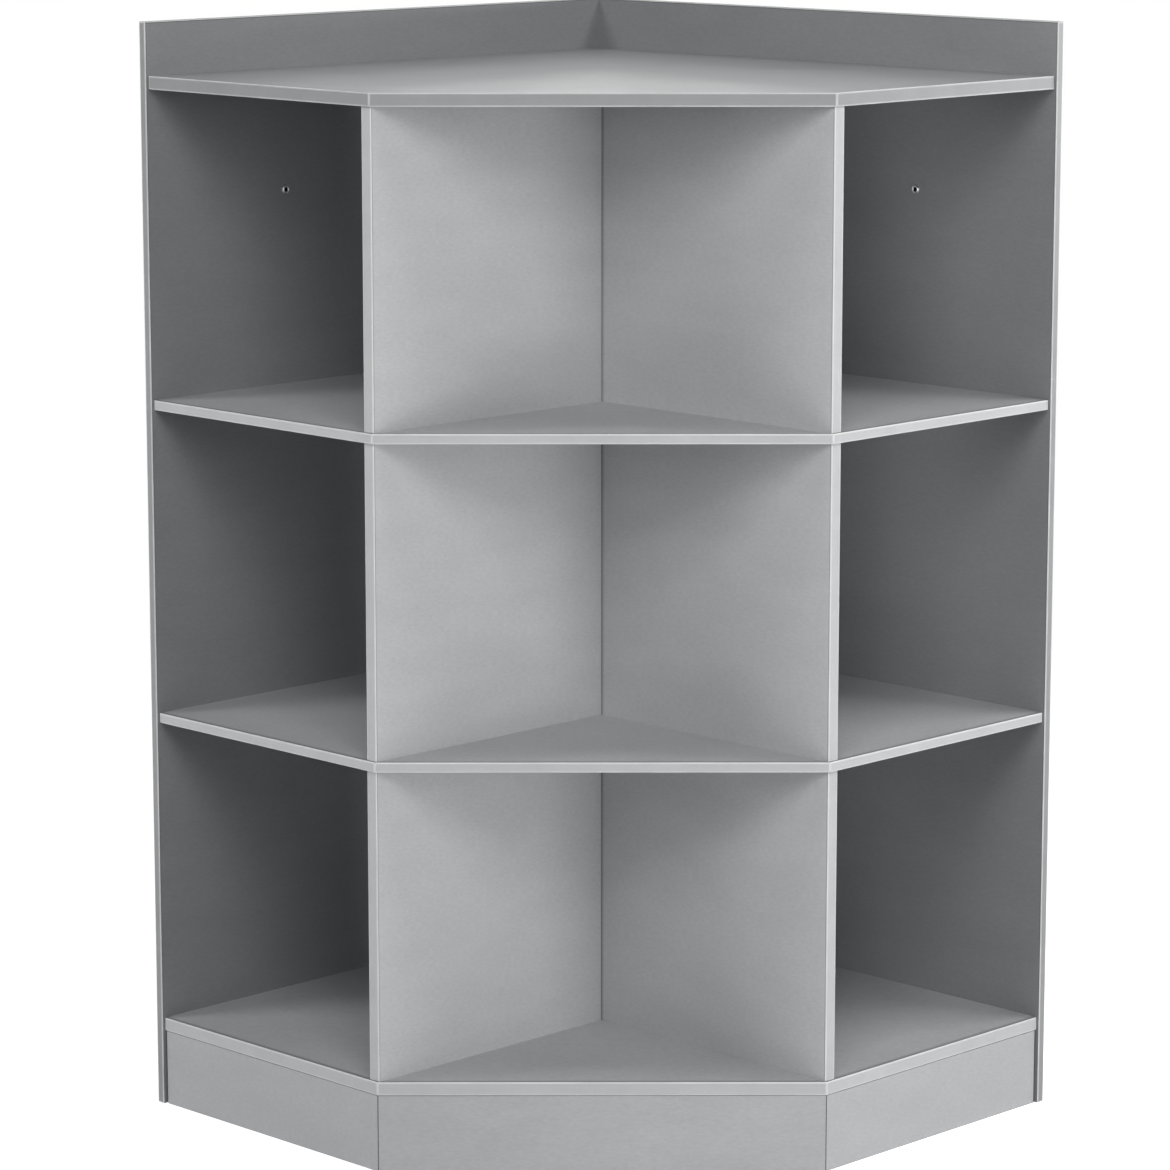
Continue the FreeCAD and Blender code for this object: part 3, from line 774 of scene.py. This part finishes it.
def skin_strip(build, rings, places, section, strip_layer):
    """Faces between two rings of a strip, laid out flat along it and round it."""
    near, far = places
    around = 0.0
    for first in range(len(section)):
        second = (first + 1) % len(section)
        step = (Vector(section[second][:2]) - Vector(section[first][:2])).length
        face = build.faces.new((rings[0][first], rings[1][first], rings[1][second], rings[0][second]))
        face.smooth = True
        spots = ((near, around), (far, around), (far, around + step), (near, around + step))
        for loop, spot in zip(face.loops, spots):
            loop[strip_layer].uv = spot
        around += step


def straight_band(node, run, out, settings):
    """One strip on a straight end of a board: it runs along one plan axis and faces along another."""
    low, high = node_box(node)
    across = LEFT + RIGHT + UP - run - out
    near = list(low)
    near[out] = high[out]
    far = list(near)
    far[run] = high[run]
    start, end = plan_point(*near), plan_point(*far)
    section = strip_section(high[out] - low[out], high[across] - low[across], settings)
    build = bmesh.new()
    add_strip(build, start, end, -plan_axes[out], plan_axes[across], section, settings)
    return mesh_from(build, node)


def board_bands(node, depth, settings):
    """Three mitred strips on the front edges of a five-sided board."""
    low, high = node_box(node)
    left_wall = node_box("wall_panel_left")[1][RIGHT] + settings.wall_gap
    right_wall = node_box("wall_panel_right")[1][LEFT] + settings.wall_gap
    reach = high[LEFT]
    corner = -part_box(node)[0].y / diagonal - reach
    spots = ((reach, left_wall), (reach, corner), (corner, reach), (right_wall, reach))
    corners = [plan_point(left, right, low[UP]) for left, right in spots]
    inwards = (-plan_axes[LEFT], -front_way, -plan_axes[RIGHT])
    mitre = math.tan(board_corner / 2)
    slopes = ((0, mitre), (mitre, mitre), (mitre, 0))
    section = strip_section(depth, high[UP] - low[UP], settings)
    build = bmesh.new()
    for start, end, inward, slope in zip(corners, corners[1:], inwards, slopes):
        add_strip(build, start, end, inward, plan_axes[UP], section, settings, slope)
    return mesh_from(build, node)


class SHELF_OT_edging(bpy.types.Operator):
    """Model the strips on every edge that shows, with round arrises paled by painted highlight and rubbing,
    and mitred corners
    """
    bl_idname = "shelf.edging"
    bl_label = "Edge strips"

    def execute(self, context):
        finish = context.scene.shelf_finish
        settings = context.scene.shelf_edging
        light = edging("edging_light", finish.shelf_edge_colour, finish)
        grey = edging("edging_grey", finish.panel_edge_colour, finish)
        for side, out in (("left", LEFT), ("right", RIGHT)):
            front_band = "wall_panel_" + side + "_front_band"
            self.add_band(front_band, straight_band(front_band, UP, out, settings), grey, "panel_edge")
            top_band = "wall_panel_" + side + "_top_band"
            self.add_band(top_band, straight_band(top_band, out, UP, settings), grey, "panel_edge")
            for tier in tiers:
                band = tier + "_divider_" + side + "_band"
                self.add_band(band, straight_band(band, UP, out, settings), light, "shelf_edge")
        low, high = node_box("upper_divider_left_band")
        depth = high[LEFT] - low[LEFT]
        for board in ("top_panel", *shelf_boards):
            bands = board + "_bands"
            material, slot = (grey, "panel_edge") if board == "top_panel" else (light, "shelf_edge")
            self.add_band(bands, board_bands(bands, depth, settings), material, slot)
        return {"FINISHED"}

    def add_band(self, node, mesh, material, slot):
        """One piece that stands for a node's strips."""
        finished_piece("edge_" + node, mesh, material, [node])


# Screws, cams and eyelets

# Shares of a screw head's or a cam's radius
off_axis_share = 0.1
pointer_share = 0.16
pointer_place_share = 0.74
mouth_reach_share = 1.5

# Sides of a cam's pointer, steps round an eyelet's rim, and how a screw's length is rounded and named
pointer_sides = 3
rim_steps = 12
length_digits = 5
millimetres = 1000


def turned_measures(corners):
    """Head centre, direction and sizes of a countersunk screw, read from its solid's corners."""
    points = numpy.array([tuple(corner) for corner in corners])
    centre = points.mean(axis=0)
    spreads, directions = numpy.linalg.eigh(numpy.cov((points - centre).T))
    least, middle, most = spreads
    axis = directions[:, -1] if most - middle > middle - least else directions[:, 0]
    along = (points - centre) @ axis
    radii = numpy.linalg.norm(points - centre - numpy.outer(along, axis), axis=1)
    if along[radii.argmax()] > 0:
        axis = -axis
        along = -along
    below_head = along > along[radii.argmax()] + merge_distance
    shank = radii[(radii > radii.max() * off_axis_share) & below_head]
    return {
        "place": Vector(centre + axis * along.min()),
        "direction": Vector(axis),
        "head": float(radii.max()),
        "shank": float(shank.min()),
        "length": float(along.max() - along.min()),
    }


def turn_to(direction, sideways):
    """Turn that carries Z to a direction and X as near as can be to another."""
    out = direction.normalized()
    side = (sideways - out * sideways.dot(out)).normalized()
    return Matrix((side, out.cross(side), out)).transposed().to_quaternion()


def placing_mesh(name, places, turns):
    """Bare points for a fitting, each with its turn."""
    mesh = bpy.data.meshes.new(name)
    mesh.from_pydata([tuple(place) for place in places], [], [])
    attribute = mesh.attributes.new("turn", "QUATERNION", "POINT")
    for entry, turn in zip(attribute.data, turns):
        entry.value = turn
    return mesh


def fitting_tree(name, sizes):
    """A geometry tree that takes placing points, named sizes, steps and a material, and gives a mesh."""
    inputs = {"Geometry": GEOMETRY, **dict.fromkeys(sizes, VALUE), "Steps": COUNT, "Material": MATERIAL}
    return new_group(name, "GeometryNodeTree", inputs, {"Geometry": GEOMETRY})


def moved(tree, shape, way, distance, rotation=(0, 0, 0)):
    """A shape turned, then moved along X or Z."""
    offset = add_node(tree, "ShaderNodeCombineXYZ", {way: distance}).outputs[0]
    feeds = {"Geometry": shape, "Translation": offset, "Rotation": rotation}
    return add_node(tree, "GeometryNodeTransform", feeds).outputs[0]


def cone(tree, steps, low_radius, high_radius, height, lift, fill="NONE"):
    """A cone or tube standing at a height."""
    feeds = {"Vertices": steps, "Radius Bottom": low_radius, "Radius Top": high_radius, "Depth": height}
    shape = add_node(tree, "GeometryNodeMeshCone", feeds, fill_type=fill).outputs["Mesh"]
    return moved(tree, shape, "Z", lift)


def cap(tree, steps, radius, lift, turned_over):
    """A flat round end at a height."""
    feeds = {"Vertices": steps, "Radius": radius}
    shape = add_node(tree, "GeometryNodeMeshCircle", feeds, fill_type="NGON").outputs["Mesh"]
    if turned_over:
        shape = add_node(tree, "GeometryNodeFlipFaces", {"Mesh": shape}).outputs[0]
    return moved(tree, shape, "Z", lift)


def cross_bars(tree, length, width, depth):
    """Two crossed square bars that cut slots of a depth in a face at the origin."""
    both_ways = product(tree, depth, 2.0)
    bars = []
    for long, short in ((length, width), (width, length)):
        size = add_node(tree, "ShaderNodeCombineXYZ", {"X": long, "Y": short, "Z": both_ways}).outputs[0]
        bars.append(add_node(tree, "GeometryNodeMeshCube", {"Size": size}).outputs["Mesh"])
    return bars


def joined(tree, shapes):
    """Open shapes joined into one closed shell."""
    join = tree.nodes.new("GeometryNodeJoinGeometry")
    for shape in shapes:
        tree.links.new(shape, join.inputs[0])
    return add_node(tree, "GeometryNodeMergeByDistance", {"Geometry": join.outputs[0]}).outputs[0]


def cut_away(tree, body, cutters):
    """A closed shell less its cutters."""
    cut = add_node(tree, "GeometryNodeMeshBoolean", {"Mesh 1": body}, operation="DIFFERENCE", solver="EXACT")
    for cutter in cutters:
        tree.links.new(cutter, cut.inputs["Mesh 2"])
    return cut.outputs["Mesh"]


def set_on_points(tree, source, shape, result):
    """Set a fitting on every placing point, as one plain mesh with sharp arrises and its material."""
    feeds = {"Geometry": shape, "Shade Smooth": True}
    smooth = add_node(tree, "GeometryNodeSetShadeSmooth", feeds, domain="FACE")
    angle = add_node(tree, "GeometryNodeInputMeshEdgeAngle").outputs["Unsigned Angle"]
    feeds = {0: angle, 1: cut_crease}
    sharp = add_node(tree, "FunctionNodeCompare", feeds, data_type="FLOAT", operation="GREATER_THAN")
    feeds = {"Geometry": smooth.outputs[0], "Selection": sharp.outputs[0], "Shade Smooth": False}
    creased = add_node(tree, "GeometryNodeSetShadeSmooth", feeds, domain="EDGE").outputs[0]
    turn = add_node(tree, "GeometryNodeInputNamedAttribute", {"Name": "turn"}, data_type="QUATERNION")
    points = add_node(tree, "GeometryNodeMeshToPoints", {"Mesh": source["Geometry"]}).outputs[0]
    feeds = {"Points": points, "Instance": creased, "Rotation": turn.outputs["Attribute"]}
    instances = add_node(tree, "GeometryNodeInstanceOnPoints", feeds).outputs[0]
    real = add_node(tree, "GeometryNodeRealizeInstances", {"Geometry": instances}).outputs[0]
    feeds = {"Geometry": real, "Material": source["Material"]}
    tree.links.new(add_node(tree, "GeometryNodeSetMaterial", feeds).outputs[0], result["Geometry"])


def screw_tree():
    """Countersunk screws with a cross recess, a shank and a point."""
    sizes = ("Head Radius", "Shank Radius", "Length", "Recess Reach", "Recess Width", "Recess Depth")
    tree, source, result = fitting_tree("Countersunk screws", sizes)
    steps, head, shank = source["Steps"], source["Head Radius"], source["Shank Radius"]
    cone_depth = maths(tree, "SUBTRACT", head, shank)
    point_depth = product(tree, shank, 2.0)
    point_start = maths(tree, "SUBTRACT", source["Length"], point_depth)
    body = joined(tree, (
        cap(tree, steps, head, 0.0, True),
        cone(tree, steps, head, shank, cone_depth, 0.0),
        cone(tree, steps, shank, shank, maths(tree, "SUBTRACT", point_start, cone_depth), cone_depth),
        cone(tree, steps, shank, 0.0, point_depth, point_start),
    ))
    across = product(tree, source["Recess Reach"], 2.0)
    wings = cross_bars(tree, across, source["Recess Width"], source["Recess Depth"])
    set_on_points(tree, source, cut_away(tree, body, wings), result)
    return tree


def cam_tree():
    """Round cams with a chamfered face, cross slots, a pointer and the mouth for a bolt's head."""
    sizes = ("Radius", "Depth", "Chamfer", "Slot Length", "Slot Width", "Slot Depth", "Mouth", "Mouth Depth")
    tree, source, result = fitting_tree("Cam locks", sizes)
    steps, radius, chamfer = source["Steps"], source["Radius"], source["Chamfer"]
    face = maths(tree, "SUBTRACT", radius, chamfer)
    body = joined(tree, (
        cap(tree, steps, face, 0.0, True),
        cone(tree, steps, face, radius, chamfer, 0.0),
        cone(tree, steps, radius, radius, maths(tree, "SUBTRACT", source["Depth"], chamfer), chamfer),
        cap(tree, steps, radius, source["Depth"], False),
    ))
    slots = cross_bars(tree, source["Slot Length"], source["Slot Width"], source["Slot Depth"])
    mouth_radius = maths(tree, "DIVIDE", source["Mouth"], 2.0)
    mouth_reach = product(tree, radius, mouth_reach_share)
    mouth = cone(tree, steps, mouth_radius, mouth_radius, mouth_reach, 0.0, "NGON")
    bored = moved(tree, mouth, "Z", source["Mouth Depth"], (0, quarter_turn, 0))
    pointer_size = product(tree, radius, pointer_share)
    pointer = cone(tree, pointer_sides, pointer_size, 0.0, pointer_size, 0.0, "NGON")
    marked = moved(tree, pointer, "X", product(tree, radius, pointer_place_share))
    set_on_points(tree, source, cut_away(tree, body, slots + [bored, marked]), result)
    return tree


def set_fittings(name, tree, places, turns, material, sizes):
    """The plain mesh that a geometry tree makes from places, turns and sizes."""
    holder = bpy.data.objects.new(name + "_points", placing_mesh(name, places, turns))
    bpy.context.scene.collection.objects.link(holder)
    modifier = holder.modifiers.new(name, "NODES")
    modifier.node_group = tree
    values = {**sizes, "Material": material, "Steps": bpy.context.scene.shelf_fittings.turn_steps}
    for item in tree.interface.items_tree:
        if item.in_out == "INPUT" and item.name in values:
            modifier[item.identifier] = values[item.name]
    bpy.context.view_layer.update()
    evaluated = holder.evaluated_get(bpy.context.evaluated_depsgraph_get())
    mesh = bpy.data.meshes.new_from_object(evaluated)
    mesh.name = name
    holder.modifiers.remove(modifier)
    bpy.data.objects.remove(holder)
    if not mesh.polygons:
        raise RuntimeError(name + " came out empty")
    return mesh


class SHELF_OT_screws(bpy.types.Operator):
    """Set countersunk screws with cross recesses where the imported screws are"""
    bl_idname = "shelf.screws"
    bl_label = "Screws"

    def execute(self, context):
        zinc = plated_metal("screw")
        tree = screw_tree()
        for node in ("panel_screws", "shelf_screws", "corner_screws", "plate_screws", "block_screws"):
            found = {}
            for screw in map(turned_measures, solids_in(node)):
                found.setdefault(round(screw["length"], length_digits), []).append(screw)
            for length in sorted(found):
                self.add_screws(node, found[length], tree, zinc, context.scene.shelf_fittings)
        return {"FINISHED"}

    def add_screws(self, node, alike, tree, material, settings):
        """One piece from screws of one size."""
        turns = [turn_to(screw["direction"], plan_axes[UP] + plan_axes[LEFT]) for screw in alike]
        head, shank, length = [alike[0][size] for size in ("head", "shank", "length")]
        sizes = {
            "Head Radius": head,
            "Shank Radius": shank,
            "Length": length,
            "Recess Reach": head * settings.recess_share,
            "Recess Width": 2 * head * settings.recess_width_share,
            "Recess Depth": (head - shank) * settings.recess_depth_share,
        }
        name = "{}_{:.0f}mm".format(node, length * millimetres)
        mesh = set_fittings(name, tree, [screw["place"] for screw in alike], turns, material, sizes)
        finished_piece(name, mesh, material, [node])


class SHELF_OT_cams(bpy.types.Operator):
    """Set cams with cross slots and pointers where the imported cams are"""
    bl_idname = "shelf.cams"
    bl_label = "Cams"

    def execute(self, context):
        settings = context.scene.shelf_fittings
        cast = plated_metal("cam")
        places, turns = [], []
        tier_middles = [sum(corner.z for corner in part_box(tier + "_divider_left")) / 2 for tier in tiers]
        for corners in solids_in("cam_locks"):
            low, high = plan_box(corners)
            middle = plan_middle(low, high)
            inward = LEFT if high[LEFT] - low[LEFT] < high[RIGHT] - low[RIGHT] else RIGHT
            face = list(middle)
            face[inward] = low[inward]
            places.append(plan_point(*face))
            tier_middle = min(tier_middles, key=lambda height: abs(height - middle[UP]))
            towards_end = plan_axes[UP] * (1 if middle[UP] > tier_middle else -1)
            turns.append(turn_to(plan_axes[inward], towards_end))
        divider_low, divider_high = node_box("upper_divider_left")
        sizes = {
            "Radius": (high[UP] - low[UP]) / 2,
            "Depth": high[inward] - low[inward],
            "Chamfer": settings.cam_chamfer,
            "Slot Length": settings.cam_slot_length,
            "Slot Width": settings.cam_slot_width,
            "Slot Depth": settings.cam_slot_depth,
            "Mouth": settings.cam_mouth,
            "Mouth Depth": (divider_high[RIGHT] - divider_low[RIGHT]) / 2,
        }
        mesh = set_fittings("divider_cams", cam_tree(), places, turns, cast, sizes)
        finished_piece("divider_cams", mesh, cast, ["cam_locks"])
        return {"FINISHED"}


def eyelet_section(bore, sleeve, rim, back, face, crown):
    """Half section of an eyelet as radius and height: sleeve through the panel, rolled rim in the bay."""
    points = [(bore, back), (sleeve, back), (sleeve, face), (rim, face)]
    roll = (rim - bore) / 2
    shoulder = crown - roll
    for step in range(rim_steps + 1):
        turn = math.pi * step / rim_steps
        points.append((bore + roll + roll * math.cos(turn), shoulder + roll * math.sin(turn)))
    return points


class SHELF_OT_eyelets(bpy.types.Operator):
    """Turn the two bright eyelets in the wall panels, with rolled rims and bores painted dark as shade"""
    bl_idname = "shelf.eyelets"
    bl_label = "Eyelets"

    def execute(self, context):
        # The eyelets' bores are painted near-black as shade
        nickel = plated_metal("eyelet", "bore")
        build = bmesh.new()
        for corners in solids_in("wall_eyelets"):
            self.add_eyelet(build, corners, context.scene.shelf_fittings.turn_steps)
        mesh = mesh_from(build, "wall_eyelet_rings")
        finished_piece("wall_eyelet_rings", mesh, nickel, ["wall_eyelets"])
        return {"FINISHED"}

    def add_eyelet(self, build, corners, steps):
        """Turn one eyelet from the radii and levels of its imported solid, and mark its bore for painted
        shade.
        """
        low, high = plan_box(corners)
        inward = LEFT if high[LEFT] - low[LEFT] > high[RIGHT] - low[RIGHT] else RIGHT
        middle = plan_middle(low, high)
        axis = plan_axes[inward]
        centre = plan_point(*middle) - axis * middle[inward]
        radii = [(corner - centre - axis * corner.dot(axis)).length for corner in corners]
        levels = [corner.dot(axis) for corner in corners]
        back, crown = min(levels), max(levels)
        sleeve = max(radius for radius, level in zip(radii, levels) if level - back < merge_distance)
        face = node_box("wall_panel_left" if inward == RIGHT else "wall_panel_right")[1][inward]
        section = eyelet_section(min(radii), sleeve, max(radii), back, face, crown)
        bore_shade_layer = layer_named(build.verts.layers.float, "bore")
        level_way = axis.cross(plan_axes[UP])
        rings = []
        for step in range(steps):
            turn = math.tau * step / steps
            spoke = plan_axes[UP] * math.cos(turn) + level_way * math.sin(turn)
            ring = [build.verts.new(centre + spoke * radius + axis * level) for radius, level in section]
            ring[0][bore_shade_layer] = 1.0
            ring[-1][bore_shade_layer] = 1.0
            rings.append(ring)
        for ring, following in zip(rings, rings[1:] + rings[:1]):
            for first in range(len(section)):
                second = (first + 1) % len(section)
                quad = (ring[first], following[first], following[second], ring[second])
                build.faces.new(quad).smooth = True
        bmesh.ops.remove_doubles(build, verts=build.verts, dist=merge_distance)


# Studio

# Floor, which fades to white between two distances from the shelf's axis
floor_sides = 96
floor_drop = 0.0003
floor_fade = (0.7, 2.2)
floor_glow_share = 0.7
floor_colour = (0.86, 0.86, 0.86, 1)
surround_colour = (1, 1, 1, 1)

# Soft boxes round the shelf, by azimuth in degrees from the front and distance from the shelf's axis
SoftBox = namedtuple("SoftBox", "azimuth distance height width tall")
soft_boxes = {
    "front_high": SoftBox(azimuth=0, distance=2.0, height=2.2, width=1.3, tall=0.9),
    "front_mid": SoftBox(azimuth=0, distance=2.0, height=1.4, width=1.2, tall=0.7),
    "left_high": SoftBox(azimuth=-75, distance=1.7, height=2.3, width=0.6, tall=0.5),
    "right_high": SoftBox(azimuth=75, distance=1.7, height=2.3, width=0.6, tall=0.5),
    "left_low": SoftBox(azimuth=-75, distance=1.7, height=0.4, width=0.6, tall=0.5),
    "right_low": SoftBox(azimuth=45, distance=1.7, height=0.4, width=0.6, tall=0.5),
    "right_side": SoftBox(azimuth=95, distance=1.2, height=0.9, width=0.4, tall=0.3),
    "rear_high": SoftBox(azimuth=180, distance=2.5, height=1.17, width=0.7, tall=0.35),
    "rear_low": SoftBox(azimuth=180, distance=2.5, height=0.45, width=3.6, tall=0.7),
}
lamp_aim = Vector((0, 0, 0.5))


def seen_ray(tree):
    """One where a ray comes from the camera, a reflection or glass, and none elsewhere."""
    path = add_node(tree, "ShaderNodeLightPath").outputs
    either = maths(tree, "MAXIMUM", path["Is Camera Ray"], path["Is Glossy Ray"])
    return maths(tree, "MAXIMUM", either, path["Is Transmission Ray"])


def floor_material():
    """Pale floor that keeps shadows near the shelf, is white further off, and can't be seen from below."""
    material = bpy.data.materials.new("studio_floor")
    material.use_nodes = True
    tree = material.node_tree
    tree.nodes.clear()
    position = add_node(tree, "ShaderNodeTexCoord").outputs["Object"]
    distance = add_node(tree, "ShaderNodeVectorMath", {0: position}, operation="LENGTH").outputs["Value"]
    feeds = {"Value": distance, "From Min": floor_fade[0], "From Max": floor_fade[1]}
    fade = add_node(tree, "ShaderNodeMapRange", feeds, interpolation_type="SMOOTHSTEP").outputs["Result"]
    seen = seen_ray(tree)
    paint = add_node(tree, "ShaderNodeBsdfDiffuse", {"Color": floor_colour}).outputs[0]
    brightness = product(tree, seen, floor_glow_share)
    glow = add_node(tree, "ShaderNodeEmission", {"Strength": brightness}).outputs[0]
    near = add_node(tree, "ShaderNodeAddShader", {0: paint, 1: glow}).outputs[0]
    far = add_node(tree, "ShaderNodeEmission", {"Strength": 1.0}).outputs[0]
    above = add_node(tree, "ShaderNodeMixShader", {0: product(tree, fade, seen), 1: near, 2: far}).outputs[0]
    below = add_node(tree, "ShaderNodeNewGeometry").outputs["Backfacing"]
    clear = add_node(tree, "ShaderNodeBsdfTransparent").outputs[0]
    surface = add_node(tree, "ShaderNodeMixShader", {0: below, 1: above, 2: clear}).outputs[0]
    add_node(tree, "ShaderNodeOutputMaterial", {"Surface": surface}, is_active_output=True)
    return material


def studio_floor(radius):
    """A round floor just under the shelf's foot."""
    build = bmesh.new()
    bmesh.ops.create_circle(build, cap_ends=True, segments=floor_sides, radius=radius)
    mesh = bpy.data.meshes.new("studio_floor")
    build.to_mesh(mesh)
    build.free()
    mesh.transform(Matrix.Translation((0, 0, -floor_drop)))
    mesh.materials.append(floor_material())
    floor = bpy.data.objects.new("studio_floor", mesh)
    bpy.context.scene.collection.objects.link(floor)


def studio_world(ambient):
    """Soft light from all round, seen as plain white."""
    world = bpy.data.worlds.new("studio")
    world.use_nodes = True
    tree = world.node_tree
    tree.nodes.clear()
    level = spread_over(tree, seen_ray(tree), (0.0, 1.0, ambient, 1.0))
    light = add_node(tree, "ShaderNodeBackground", {"Color": surround_colour, "Strength": level}).outputs[0]
    add_node(tree, "ShaderNodeOutputWorld", {"Surface": light})
    return world


def stand(name, data, place, aim):
    """Put a lamp or a camera at one place, turned to another."""
    thing = bpy.data.objects.new(name, data)
    thing.location = place
    thing.rotation_mode = "QUATERNION"
    thing.rotation_quaternion = (Vector(aim) - Vector(place)).to_track_quat("-Z", "Y")
    bpy.context.scene.collection.objects.link(thing)
    return thing


def soft_lamp(name, box, power):
    """A soft box turned to the middle of the shelf."""
    data = bpy.data.lights.new(name, "AREA")
    data.shape = "RECTANGLE"
    data.size = box.width
    data.size_y = box.tall
    data.energy = power
    turn = math.radians(box.azimuth)
    place = (box.distance * math.sin(turn), -box.distance * math.cos(turn), box.height)
    stand(name, data, place, lamp_aim).visible_camera = False


class SHELF_OT_stage(bpy.types.Operator):
    """Set the floor, the white surround, the soft lamps and the camera"""
    bl_idname = "shelf.stage"
    bl_label = "Studio"

    def execute(self, context):
        scene = context.scene
        stage = scene.shelf_stage
        studio_floor(stage.floor_radius)
        scene.world = studio_world(stage.ambient)
        for name, box in soft_boxes.items():
            soft_lamp(name + "_lamp", box, getattr(stage, name + "_power"))
        data = bpy.data.cameras.new("camera")
        data.lens = stage.lens_length
        scene.camera = stand("camera", data, stage.camera_place, stage.camera_aim)
        scene.view_settings.view_transform = "Standard"
        return {"FINISHED"}


class SHELF_PT_sidebar(bpy.types.Panel):
    """Steps and settings of the shelf"""
    bl_idname = "SHELF_PT_sidebar"
    bl_label = "Corner toy shelf"
    bl_space_type = "VIEW_3D"
    bl_region_type = "UI"
    bl_category = "Shelf"

    def draw(self, context):
        for step in steps:
            self.layout.operator(step.bl_idname)
        for group_name in setting_groups:
            column = self.layout.column()
            settings = getattr(context.scene, group_name)
            for name in settings.bl_rna.properties.keys():
                if name not in ("rna_type", "name"):
                    column.prop(settings, name)


setting_groups = {
    "shelf_finish": ShelfFinishSettings,
    "shelf_edging": ShelfEdgingSettings,
    "shelf_fittings": ShelfFittingSettings,
    "shelf_stage": ShelfStageSettings,
}
steps = (
    SHELF_OT_finish_boards,
    SHELF_OT_finish_fittings,
    SHELF_OT_edging,
    SHELF_OT_screws,
    SHELF_OT_cams,
    SHELF_OT_eyelets,
    SHELF_OT_stage,
)
classes = (*setting_groups.values(), *steps, SHELF_PT_sidebar)


def register():
    """Add the classes and the settings."""
    for entry in classes:
        bpy.utils.register_class(entry)
    for name, settings in setting_groups.items():
        setattr(bpy.types.Scene, name, PointerProperty(type=settings))


def unregister():
    """Take the settings and the classes out again."""
    for name in setting_groups:
        delattr(bpy.types.Scene, name)
    for entry in reversed(classes):
        bpy.utils.unregister_class(entry)


def main():
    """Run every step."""
    register()
    bpy.ops.shelf.finish_boards()
    bpy.ops.shelf.finish_fittings()
    bpy.ops.shelf.edging()
    bpy.ops.shelf.screws()
    bpy.ops.shelf.cams()
    bpy.ops.shelf.eyelets()
    bpy.ops.shelf.stage()


if __name__ == "__main__":
    main()
